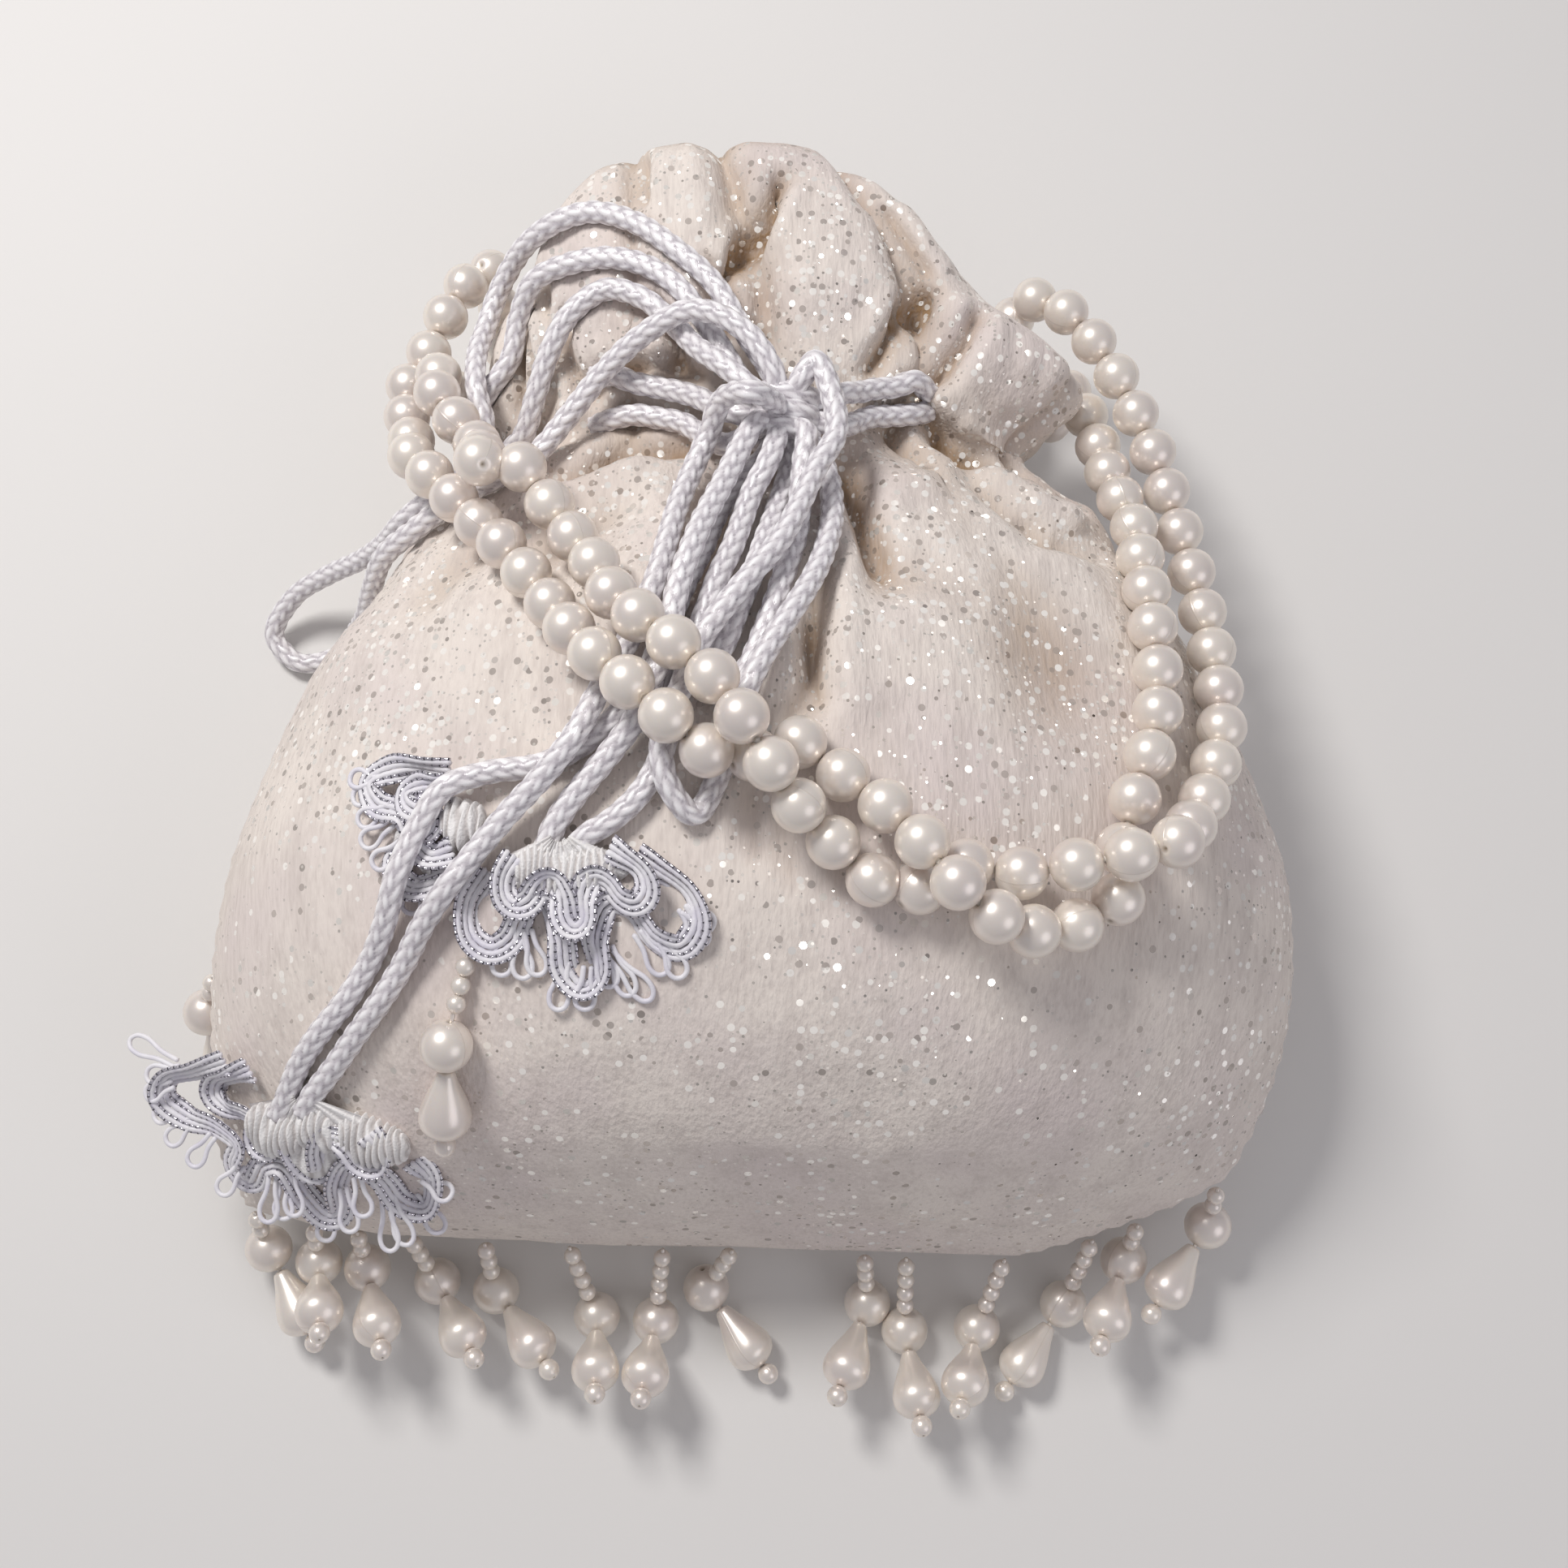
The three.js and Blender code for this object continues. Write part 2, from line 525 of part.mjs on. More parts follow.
// A strand of round pearls that touch each other
function strand_geometry(points) {
  const path = curve_through(points);
  const radius = pearl_diameter / 2;
  const beads = Math.round(path.getLength() / pearl_diameter);
  const frames = path.computeFrenetFrames(beads, false);
  const rings = [];
  for (let bead = 0; bead <= beads; bead += 1) {
    const middle = path.getPointAt(bead / beads);
    for (const [along, ring_radius] of bead_rings(0, radius)) {
      const centre = middle.clone().addScaledVector(frames.tangents[bead], along);
      rings.push({ centre, first: frames.normals[bead], second: frames.binormals[bead], radius: ring_radius });
    }
  }
  const start = path.getPointAt(0).addScaledVector(frames.tangents[0], -radius);
  const end = path.getPointAt(1).addScaledVector(frames.tangents[beads], radius);
  return ring_body(start, rings, end, bead_sides);
}

function cup_geometry({ centre, half, tilt }) {
  const geometry = new THREE.SphereGeometry(1, cup_sides, cup_rings);
  geometry.rotateX(Math.PI / 2);
  geometry.scale(half[0], half[1], cup_half_thickness);
  geometry.rotateY(THREE.MathUtils.degToRad(tilt[1]));
  geometry.rotateX(THREE.MathUtils.degToRad(tilt[0]));
  geometry.translate(...centre);
  return geometry;
}

function knot_geometry({ centre, half }) {
  const geometry = new THREE.SphereGeometry(1, knot_sides, knot_rings);
  geometry.scale(...half);
  geometry.translate(...centre);
  return geometry;
}

const bag = new THREE.Group();

function add(name, geometry, colour, roughness, metalness = 0) {
  const material = new THREE.MeshStandardMaterial({ color: colour, roughness, metalness });
  const mesh = new THREE.Mesh(geometry, material);
  mesh.name = name;
  bag.add(mesh);
}

const velvet = 0xe9e0d6;
const satin = 0xdcd8de;
const pearl_white = 0xf2ece2;
const gathered_white = 0xefeeea;
const silver_braid = 0xc9c6cf;

add("pouch", cloth_geometry(), velvet, 0.85);
add("drawcord_knot", knot_geometry(knot), satin, 0.5);
const cord_routes = { ...neck_cord_routes, ...bow_loop_routes, ...front_loop_routes, ...tail_routes };
for (const [name, route] of Object.entries(cord_routes)) {
  add(name, tube_geometry(route, cord_diameter), satin, 0.5);
}
for (const [name, route] of Object.entries(strand_routes)) {
  add(name, strand_geometry(route), pearl_white, 0.25);
}
for (const [name, route] of Object.entries(trim_routes)) {
  add(name, tube_geometry(route, trim_diameter), silver_braid, 0.45, 0.2);
}
for (const [name, cup] of Object.entries(cups)) {
  add(name, cup_geometry(cup), gathered_white, 0.8);
}
const seam = seam_curve();
for (const row of fringe) {
  add(`fringe_drop_${row[0]}`, fringe_drop(seam, row), pearl_white, 0.25);
}
const drop_root = new THREE.Vector3(...rosette_drop.root);
const drop_pearl = new THREE.Vector3(...rosette_drop.to_pearl).add(drop_root);
const drop_teardrop = new THREE.Vector3(...rosette_drop.down_teardrop).add(drop_pearl);
const rosette_drop_geometry = drop_geometry(drop_root, drop_pearl, drop_teardrop, rosette_drop_seeds);
add("rosette_drop", rosette_drop_geometry, pearl_white, 0.25);

export default bag;
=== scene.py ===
# A small padded velvet drawstring pouch with a pearl handle, lying on its back on a table.
# Lengths in the tables below are millimetres. +X is right, +Y runs from the bottom seam to the gathered
# mouth, +Z is up from the table, and the origin is the middle of the patch on which the pouch rests.

import math

import bpy
import numpy as np
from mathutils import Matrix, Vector, noise
from mathutils.bvhtree import BVHTree
from mathutils.kdtree import KDTree


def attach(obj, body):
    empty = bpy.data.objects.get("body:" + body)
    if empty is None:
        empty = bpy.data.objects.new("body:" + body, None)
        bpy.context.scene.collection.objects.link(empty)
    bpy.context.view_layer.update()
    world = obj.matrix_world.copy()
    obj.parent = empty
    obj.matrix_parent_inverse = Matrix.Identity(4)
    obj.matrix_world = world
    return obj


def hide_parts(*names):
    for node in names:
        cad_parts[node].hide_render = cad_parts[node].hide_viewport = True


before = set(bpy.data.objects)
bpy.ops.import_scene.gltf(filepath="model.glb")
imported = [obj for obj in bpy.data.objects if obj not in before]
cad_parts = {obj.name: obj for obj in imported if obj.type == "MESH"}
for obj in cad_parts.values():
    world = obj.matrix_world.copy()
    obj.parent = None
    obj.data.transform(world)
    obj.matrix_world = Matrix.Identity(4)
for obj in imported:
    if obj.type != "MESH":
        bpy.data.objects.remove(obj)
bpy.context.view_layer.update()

MM = 0.001

# Sizes
belly_width = 178
belly_thickness = 70
body_length = 131
neck_width = 90
neck_thickness = 44
neck_height = 30
frill_length = 51.5
frill_width = 101
frill_thickness = 56
seam_height = 15
seam_tilt = 0.028
cord_diameter = 3.8
pearl_diameter = 8
seed_diameter = 3
stopper_diameter = 3.5
teardrop_length = 11.8
thread_diameter = 1
seam_y = -66.5
neck_y = seam_y + body_length
back_sag = 12
least_height = 0.5
neck_fold_strength = 0.7

# Body profile from the bottom seam to the neck: how far along, share of the belly's half width,
# of the neck's half width, of the belly's rise, of the neck's rise, lift toward the neck, shift right
body_profile = [
    [0.0, 0.53, 0, 0.02, 0, 0, -3],
    [0.012, 0.68, 0, 0.15, 0, 0.03, -10],
    [0.03, 0.8, 0, 0.29, 0, 0.07, -13],
    [0.055, 0.865, 0, 0.42, 0, 0.16, -10],
    [0.095, 0.935, 0, 0.55, 0, 0.33, -6],
    [0.13, 0.96, 0, 0.65, 0, 0.46, -4.5],
    [0.185, 0.98, 0, 0.76, 0, 0.64, -3],
    [0.26, 0.995, 0, 0.87, 0, 0.82, -1.5],
    [0.36, 1.0, 0, 0.96, 0, 0.95, -0.5],
    [0.47, 0.985, 0, 1.0, 0, 1, 0],
    [0.56, 0.945, 0, 1.0, 0, 1, 0],
    [0.65, 0.89, 0, 0.98, 0, 1, 0],
    [0.74, 0.7, 0.26, 0.8, 0.26, 1, 0],
    [0.82, 0.48, 0.53, 0.55, 0.53, 1, 0],
    [0.88, 0.31, 0.75, 0.34, 0.75, 1, 0],
    [0.93, 0.19, 0.9, 0.18, 0.88, 1, 0],
    [0.97, 0.07, 0.97, 0.06, 0.97, 1, 0],
    [1.0, 0, 1.0, 0, 1.0, 1, 0],
]
# Frill profile over the rim and down the closed funnel: how far along, share of the half width,
# share of the half thickness, share of the rim's drop at the sides, shift right
frill_profile = [
    [0.06, 0.9, 0.76, 0.02, 0],
    [0.16, 0.96, 0.84, 0.08, 1],
    [0.3, 1.0, 0.92, 0.18, 2.5],
    [0.45, 0.98, 0.97, 0.36, 2],
    [0.62, 0.91, 1.0, 0.58, 0],
    [0.8, 0.84, 0.98, 0.82, -2.5],
    [0.93, 0.77, 0.92, 0.95, -4.5],
    [1.0, 0.68, 0.8, 1.0, -5.5],
    [0.95, 0.6, 0.66, 0.96, -5],
    [0.82, 0.52, 0.5, 0.8, -4],
    [0.64, 0.38, 0.32, 0.45, -2.5],
    [0.46, 0.18, 0.15, 0.15, -1],
]
rim_row = 7
rim_drop = 19
rim_drop_power = 4
funnel_end = 0.38
folds = [
    [22, 3.5], [58, 6], [92, 5], [118, 3], [152, 4.5], [180, 3.5], [214, 4], [246, 3], [281, 4], [318, 3.5],
]
fold_half_angle = 9
fold_start = 0.8
trough_share = 0.5
crease_share = 0.5
crease_half_angle = 2.0
lobe_angle = 24
lobe_reach = 34
lobe_y = neck_y + 15.5
lobe_length = 15
lobe_height = 6

# Routes of the cords and of the handle
neck_cord_routes = {
    "neck_cord_left_upper": [
        [-23.5, 74, 52], [-20, 72.5, 52.5], [-16.5, 71.5, 53], [-12.5, 70, 54.5], [-9, 68, 56.5],
        [-6, 65.5, 58.5], [-2.3, 64, 59.5],
    ],
    "neck_cord_left_lower": [
        [-23.5, 67.5, 49.5], [-20, 67.5, 51], [-16, 66.5, 52], [-12, 65, 53.5], [-8.5, 62, 55.5],
        [-5, 59.5, 58], [-1.7, 60, 59.5],
    ],
    "neck_cord_right_upper": [
        [10.5, 66.5, 59.5], [14, 68, 58.5], [16.5, 69.5, 55.5], [19.5, 71, 53.5], [23, 72, 52],
        [26, 73.5, 51],
    ],
    "neck_cord_right_lower": [
        [11.2, 62.5, 59.5], [14, 62.5, 58.5], [16, 64.5, 55], [18.5, 66.5, 52.5], [21.5, 67.5, 50.5],
        [25, 68.5, 48.7],
    ],
}
cord_routes = {
    "bow_loop_long": [
        [2.5, 70.7, 59.5], [-2, 78.5, 59], [-7, 87, 59], [-13.5, 93.5, 58.5], [-20.5, 99.5, 56],
        [-27.5, 102.4, 53.8], [-33.5, 101.9, 51.6], [-38.7, 100.6, 47.2], [-42.3, 98.8, 42.3],
        [-45.2, 94.8, 39.2], [-47, 89, 38.8], [-48, 82.5, 41.5], [-47.5, 75.5, 44], [-46, 68.5, 43],
        [-48.5, 61.5, 41.5], [-54, 57.5, 41], [-60, 54.5, 37], [-65, 53.5, 28.5], [-71, 53, 20.5],
        [-78, 52.5, 14], [-86, 50, 8], [-90.5, 44, 3.5], [-86, 39, 2.5], [-78.5, 40, 3.5],
        [-74, 42, 10.5], [-70, 43, 19.5], [-67, 45, 28.5], [-63, 48, 37.5], [-57, 50.5, 43],
        [-51.5, 53.5, 46], [-46, 55.5, 49], [-41, 57.5, 50.7], [-36, 60.5, 51.5], [-31, 66, 53],
        [-25, 72.5, 56], [-18, 77.5, 60], [-10, 80, 63.5], [-2, 76, 65], [2.8, 69.3, 64.1],
    ],
    "bow_loop_short": [
        [-1.4, 68.4, 59.5], [-4.5, 74, 58.5], [-8, 80, 58], [-12, 86, 58], [-17.5, 91, 56.5],
        [-24, 93.5, 55], [-31, 93.5, 53], [-37.5, 92, 49.5], [-40.5, 87.5, 45], [-42, 81.5, 42.5],
        [-46, 76.5, 40], [-49.7, 72.5, 35.3], [-48.5, 66.5, 34], [-44, 65, 39], [-39.5, 67, 43],
        [-37, 72.5, 47], [-34.5, 79, 50], [-31, 84.5, 52.5], [-25, 88, 54.5], [-18.5, 85.5, 56.5],
        [-13.5, 80.5, 57.5], [-9.5, 75, 60.5], [-5, 70.5, 63.5], [-0.8, 66.6, 64],
    ],
    "front_loop_long": [
        [7.2, 68, 64], [9.5, 70.5, 65], [12, 64.5, 65.5], [12.5, 57.5, 67], [9.5, 51.5, 68.5],
        [7, 45, 70.5], [4, 38.5, 72.5], [0, 33, 74], [-4, 27.5, 75], [-8, 21.5, 75.5],
        [-10.5, 14.5, 76], [-13, 8, 76.5], [-12.5, 1, 75.5], [-8.5, -3.5, 72.5], [-5, 2.5, 72],
        [-3, 9, 74], [-0.5, 15.5, 76], [2.5, 21.5, 75], [6, 27.5, 73.5], [9, 33.5, 70.5],
        [11, 39.5, 67.5], [12, 46, 64], [11.5, 52.5, 61], [9.5, 58.2, 59.5],
    ],
    "front_loop_short": [
        [5.5, 56.2, 59.5], [4.5, 51, 61], [3, 45.5, 63.5], [1.5, 40.5, 66], [0, 35, 68.5],
        [-2, 29.5, 70], [-4, 23.5, 71], [-6.3, 18, 71.5], [-4, 14, 72], [-0.7, 19, 71.5],
        [1.5, 24.5, 71], [3.5, 30.5, 70], [5, 36, 68.5], [6.5, 42, 66.5], [7, 48, 65], [7.5, 54, 64.7],
        [8, 58.8, 64],
    ],
    "tail_near_left": [
        [3, 63.5, 65.3], [-0.5, 62.5, 71.5], [-5, 63.5, 66.5], [-7.5, 59.5, 61.5], [-10, 53.5, 61.5],
        [-12, 47, 64], [-13.5, 40, 66.5], [-15, 33.5, 68.5], [-17.5, 26.5, 70], [-20, 20, 72],
        [-23, 14, 73.5], [-26, 7.5, 75], [-30.5, 2, 73.5], [-35.5, -3, 71.5], [-40, -8, 70],
        [-44.5, -13.5, 69], [-48.5, -18.5, 65.5], [-52, -24, 61.5], [-56, -29.5, 58.5], [-60, -34, 55],
        [-64, -38.5, 51], [-68, -42.5, 47],
    ],
    "tail_near_right": [
        [1.5, 56.8, 59.5], [-3, 51.5, 61], [-6, 45.5, 63.5], [-8, 39, 66.5], [-10.5, 32.5, 69],
        [-13, 25.5, 70], [-15.5, 19, 70.5], [-19.5, 12.5, 71], [-25, 7.5, 70.5], [-31.5, 4.5, 69.5],
        [-39, 3.5, 69], [-45.5, 1, 69.5], [-49.5, -5, 68.5], [-52.5, -12, 67.4], [-54.5, -18, 64],
        [-57.5, -23.5, 59.5], [-61.5, -29, 56.5], [-66, -33.5, 53], [-70, -38, 48.5], [-73, -43, 44],
    ],
    "tail_far_left": [
        [0, 60.6, 64], [-2, 56.5, 65.5], [-4, 51.5, 67], [-6, 46.5, 69], [-8, 41.5, 71],
        [-9.5, 36.5, 73], [-11, 31.5, 74], [-12, 26, 75], [-13, 20.5, 75], [-15, 15.5, 75],
        [-17, 10.5, 74.5], [-20.5, 6, 73], [-23.5, 2.5, 72], [-26.5, -1, 71], [-29, -4.5, 70],
    ],
    "tail_far_right": [
        [3.3, 58, 63.8], [2, 53.5, 65.5], [-0.5, 48.5, 65.5], [-2, 43.5, 66.5], [-3.5, 38.5, 68],
        [-5.5, 33.5, 69.5], [-7, 28.5, 70.5], [-9, 23, 71], [-11, 18, 71.5], [-12, 12.5, 71.5],
        [-13, 7, 72], [-15, 2, 72], [-17.5, -1.5, 72], [-21, -4.5, 71.5], [-24.5, -6.5, 70.5],
    ],
}
strand_routes = {
    "handle_strand_a": [
        [-47, 60, 14], [-47.5, 70.5, 9.5], [-47.5, 81, 7.5], [-48, 92.5, 9], [-48.5, 101.5, 14.5],
        [-49, 107, 24], [-54, 99.5, 29.5], [-57.5, 89, 31.5], [-61.5, 78.5, 34], [-59, 69, 39.5],
        [-57, 61.5, 47.5], [-51, 54.5, 53.5], [-45, 47.5, 57.5], [-38, 39.5, 64], [-31.5, 30.5, 68.5],
        [-26, 22.5, 75.5], [-19.5, 15.5, 81], [-11.5, 8, 83.5], [-3.5, 3, 79], [6, 7, 74.5],
        [13.5, 1.5, 74.5], [21.5, -5.5, 77.5], [28.5, -14.5, 80.5], [36.5, -20, 75.5], [44, -20, 69.5],
        [53, -16, 67.2], [54.5, -8, 65.5], [57, 0.5, 65], [61, 11, 62], [62.5, 21.5, 58.5],
        [62.5, 32, 55], [62.5, 42, 49.5], [62.5, 51.5, 43.5], [60.5, 60.5, 37.5], [59.5, 69.5, 31.5],
        [57.5, 79.5, 26.5], [55.2, 84.5, 22], [53.2, 80.5, 18],
    ],
    "handle_strand_b": [
        [-50.5, 66, 26], [-51.5, 77, 29.5], [-54.5, 80, 38.5], [-53, 72, 47], [-46.5, 63.5, 50.5],
        [-44, 58.5, 57], [-42, 53, 66.5], [-35.5, 53, 63.5], [-30.5, 44.5, 64.5], [-25, 37, 69.5],
        [-20.5, 28.5, 75.5], [-14, 22, 81.5], [-6, 14.5, 84], [0, 5.5, 86.5], [5.5, -2.5, 81],
        [12.5, -9, 75], [21.5, -15.5, 72.5], [28.5, -11, 71.5], [39.5, -12, 71.5], [49.5, -10.5, 73.5],
        [60.5, -8, 72.5], [66, -2.5, 63.5], [70.5, 5.5, 57.5], [73.5, 15, 52.5], [74, 25.5, 47.5],
        [73.5, 35.5, 43.5], [72, 46.5, 40.5], [70, 57, 38.5], [67.5, 68, 36.5], [64, 78, 35],
        [59.5, 88, 33.5], [53, 97, 30.5], [47, 100.5, 24], [47, 93, 15], [46.5, 82.5, 11.5],
        [46.5, 71.5, 12], [48, 63, 15],
    ],
}
trim_routes = {
    "rosette_near_trim": [
        [-83.5, -37.5, 41.5], [-90, -38.5, 36.5], [-95, -39.5, 34], [-96, -42.5, 32],
        [-92, -45.5, 31.5], [-87, -47, 33.5], [-83, -50, 34], [-84.5, -53, 30.5], [-82, -56, 28.5],
        [-78.5, -53, 33.5], [-75, -53, 35.5], [-72.5, -58, 30.5], [-69.5, -61.5, 26.5],
        [-67, -60.5, 28.5], [-66.5, -56, 34.5], [-63.5, -53, 38.5], [-59, -55, 37.5],
        [-56.5, -59, 32.5], [-53, -60, 31.5], [-51, -55, 38.5], [-53, -52.5, 41.5],
    ],
    "rosette_far_trim": [
        [-39, -11, 67], [-42, -15.5, 65.5], [-41.5, -20.5, 65], [-38.5, -22.5, 65], [-35.5, -21, 66],
        [-33.5, -17, 67.5], [-30.5, -15.5, 68], [-28, -20.5, 67.5], [-27.5, -25.5, 65],
        [-25, -28, 64.5], [-22.5, -26, 65.5], [-23, -20.5, 68], [-21, -16, 69], [-17.5, -17, 69],
        [-14.5, -21, 68.5], [-10.5, -22.5, 68], [-8, -19.5, 69.5], [-9.5, -14.5, 70],
        [-14.5, -11, 70.5], [-17, -9.5, 70.5],
    ],
    "rosette_far_side_trim": [
        [-45.5, 4, 65.5], [-52.5, 5.5, 63.5], [-58.5, 3.5, 61.5], [-57, 0, 62], [-52, -2, 64],
        [-50.5, -5.5, 64.5], [-54, -9, 62.8], [-51, -13, 63.5], [-45, -12, 65],
    ],
}

# Gathered cloth of the rosettes: centre, half length, half width, tilt up toward the mouth, tilt to the side
cup_half_thickness = 1.8
cups = {
    "rosette_near_cup_right": [[-59.5, -49.5, 43.8], [5.5, 3], [42, -15]],
    "rosette_near_cup_middle": [[-68, -47.5, 43.1], [2.6, 2.6], [42, -17]],
    "rosette_near_cup_left": [[-75.5, -48, 39.8], [4.3, 3], [42, -22]],
    "rosette_far_cup": [[-27.5, -11, 69.2], [7, 2.7], [11, -8]],
    "rosette_far_side_cup": [[-42.8, -4, 67.2], [2.6, 2.4], [3, -14]],
}

# Pearl drops of the fringe: name, share of the way round the seam, seed pearls, headings of the seed
# pearls and of the teardrop in degrees from straight down toward the right, rise of the teardrop
fringe = [
    ["side", 0.015, 2, -32, 6, -54],
    ["a", 0.182, 2, 4, 28, -5],
    ["b", 0.222, 2, -8, 20, 50],
    ["c", 0.252, 2, 1, 23, 40],
    ["d", 0.288, 3, 21, 35, 35],
    ["e", 0.338, 3, 4, 40, 25],
    ["f", 0.395, 4, 18, 6, 50],
    ["g", 0.458, 4, -8, -7, 50],
    ["h", 0.505, 3, -36, 37, 0],
    ["i", 0.594, 3, 6, -21, 30],
    ["j", 0.622, 4, 1, 8, 35],
    ["k", 0.688, 4, -18, -20, 45],
    ["l", 0.748, 4, -18, -36, 0],
    ["m", 0.78, 2, -10, -25, 35],
    ["n", 0.838, 2, 0, -35, 0],
]
seam_rows = 9
stitch_gap = 0.6
steepest_fall = 0.82
first_seed = 2
seed_pitch = 2.9
pearl_gap = 0.3
resting_height = pearl_diameter / 2 + 0.1
rosette_drop_points = [[-42, -22.8, 64.2], [-45.5, -36, 60], [-46.3, -43.5, 54.5]]
rosette_drop_seeds = 3

# Teardrop profile from its tip: place along its length, radius as a share of a pearl's
teardrop_profile = [
    [0.0, 0.12], [0.02, 0.3], [0.1, 0.4], [0.2, 0.5], [0.31, 0.64], [0.42, 0.78], [0.53, 0.9],
    [0.64, 0.985], [0.72, 1.0], [0.8, 0.96], [0.88, 0.82], [0.94, 0.6], [0.98, 0.35], [1.0, 0.12],
]

# Creases, hollows and ridges of the front: points across the table,
# half width, depth (a ridge is negative) and how far each end fades out as a share of its length
creases = [
    [[(-19.5, 116), (-19.5, 106.5), (-18.5, 101)], 1.5, 2.2, 0.3],
    [[(5.5, 110), (1.5, 101.5), (-2.5, 93.5), (-5, 88.5), (-3.5, 83), (1.5, 78)], 1.4, 3.4, 0.12],
    [[(5.5, 112), (0, 98), (-4, 88), (0, 78)], 6, 1.6, 0.15],
    [[(28.5, 91.5), (25, 84), (21.5, 78), (16.5, 72)], 1.6, 3.2, 0.2],
    [[(30, 95), (25, 84), (16.5, 72)], 6, 1.4, 0.2],
    [[(20.5, 106), (25, 98.5), (28, 94), (29, 91)], 1.6, 2.4, 0.2],
    [[(39, 89), (34.5, 80.5), (30.5, 75.5), (25, 71)], 1.6, 3.2, 0.2],
    [[(25.5, 71.5), (32, 65.5), (41, 61), (46, 60)], 1.7, 3.6, 0.2],
    [[(-41.5, 103), (-41, 88.5), (-38.5, 77), (-41, 70)], 1.7, 3.2, 0.2],
    [[(-31.5, 89), (-33, 80.5), (-30, 73.5), (-24, 71)], 1.6, 3.4, 0.2],
    [[(-37, 97), (-35.5, 82), (-34, 72.5), (-37, 67)], 1.4, 2.6, 0.2],
    [[(-29.5, 75), (-20.5, 76), (-12.5, 74.5), (-6, 72)], 1.5, 2.8, 0.2],
    [[(-19, 88), (-13.5, 80), (-12, 73.5)], 1.6, 4.2, 0.2],
    [[(-8.5, 94), (-7, 84.5), (-3.5, 78)], 1.6, 3.0, 0.2],
    [[(-6, 61.5), (-20, 60.5), (-30.5, 57), (-40, 55)], 1.8, 3.6, 0.2],
    [[(13.5, 62), (16, 51), (18.5, 42), (20.5, 34)], 1.8, 4.2, 0.25],
    [[(13.5, 62), (16, 51), (19, 40), (22, 28)], 6, 2.4, 0.25],
    [[(12, 44), (9.5, 33.5), (9.5, 22.5), (10, 15), (7, 7)], 2.0, 4.0, 0.25],
    [[(8.5, 30), (7.5, 18.5), (4, 8)], 1.7, 3.0, 0.3],
    [[(25.5, 68.5), (33.5, 62), (38.5, 54), (47, 47), (62, 43)], 2.6, 3.2, 0.3],
    [[(29.5, 66.5), (39, 61.5), (46, 56.5), (56, 53)], 2.2, 2.4, 0.3],
    [[(0, 5), (-0.5, -5), (1, -14)], 2.0, 1.6, 0.35],
    [[(5, 3), (4.5, -7.5), (7, -16)], 2.0, 1.6, 0.35],
    [[(11, 2), (13, -8), (12, -18)], 2.2, 1.0, 0.4],
    [[(-17, 52.5), (-27, 47), (-39, 37)], 5, 2.0, 0.35],
    [[(-38, 50), (-49, 40), (-57, 30)], 4, 1.6, 0.35],
    [[(-6.5, 58), (-7.5, 40), (-9, 26)], 4, 2.6, 0.3],
    [[(4, 58), (3, 36), (1.5, 18)], 3.5, 2.2, 0.3],
    [[(22, 52), (36, 37), (46, 22), (46, 2)], 9, 3.0, 0.4],
    [[(17, 62), (27, 50), (36, 36), (38, 20)], 5, -2.0, 0.3],
    [[(34, 66), (44, 54), (58, 47)], 4, -1.6, 0.3],
    [[(-12, 57), (-24, 53), (-36, 46)], 4, -1.6, 0.3],
]


# Curves
spline_steps = 40


def smooth_path(points, spacing):
    """A centripetal spline through the points, as points at an even spacing."""
    given = np.array(points, float)
    ahead = 2 * given[0] - given[1]
    after = 2 * given[-1] - given[-2]
    given = np.vstack([ahead, given, after])
    dense = []
    share = np.linspace(0, 1, spline_steps, endpoint=False)[:, None]
    for index in range(1, len(given) - 2):
        before, start, end, beyond = given[index - 1:index + 3]
        first = np.linalg.norm(start - before) ** 0.5
        middle = np.linalg.norm(end - start) ** 0.5
        last = np.linalg.norm(beyond - end) ** 0.5
        leave = (start - before) / first - (end - before) / (first + middle) + (end - start) / middle
        enter = (end - start) / middle - (beyond - start) / (middle + last) + (beyond - end) / last
        leave = leave * middle
        enter = enter * middle
        square, cube = share ** 2, share ** 3
        dense.append(
            start + leave * share + (3 * (end - start) - 2 * leave - enter) * square
            + (2 * (start - end) + leave + enter) * cube
        )
    return even_path(np.vstack(dense + [given[-2][None]]), spacing)


def travelled_along(points):
    """How far along its line each point is."""
    return np.concatenate([[0], np.cumsum(np.linalg.norm(np.diff(points, axis=0), axis=1))])


def filled_in(values, places, wanted):
    """Values at the wanted places, straight between those that the first axis gives at its places."""
    columns = values.reshape(len(values), -1).T
    finer = np.column_stack([np.interp(wanted, places, column) for column in columns])
    return finer.reshape(len(wanted), *values.shape[1:])


def even_path(dense, spacing):
    """The same line as points at an even spacing."""
    travelled = travelled_along(dense)
    count = max(2, int(round(travelled[-1] / spacing)) + 1)
    return filled_in(dense, travelled, np.linspace(0, travelled[-1], count))


def path_length(path):
    return float(np.linalg.norm(np.diff(path, axis=0), axis=1).sum())


def unit(vectors):
    return vectors / np.maximum(np.linalg.norm(vectors, axis=-1, keepdims=True), 1e-9)


def directions(path):
    """The direction along a path at each point, and two across it that turn as little as they can."""
    along = unit(np.gradient(path, axis=0))
    first = np.zeros_like(path)
    start = np.cross(along[0], [0, 0, 1.0])
    if np.linalg.norm(start) < 0.1:
        start = np.cross(along[0], [1.0, 0, 0])
    first[0] = unit(start)
    for index in range(1, len(path)):
        carried = first[index - 1] - along[index] * first[index - 1].dot(along[index])
        first[index] = unit(carried)
    return along, first, np.cross(along, first)


def round_angles(sides):
    return np.linspace(0, 2 * math.pi, sides, endpoint=False)


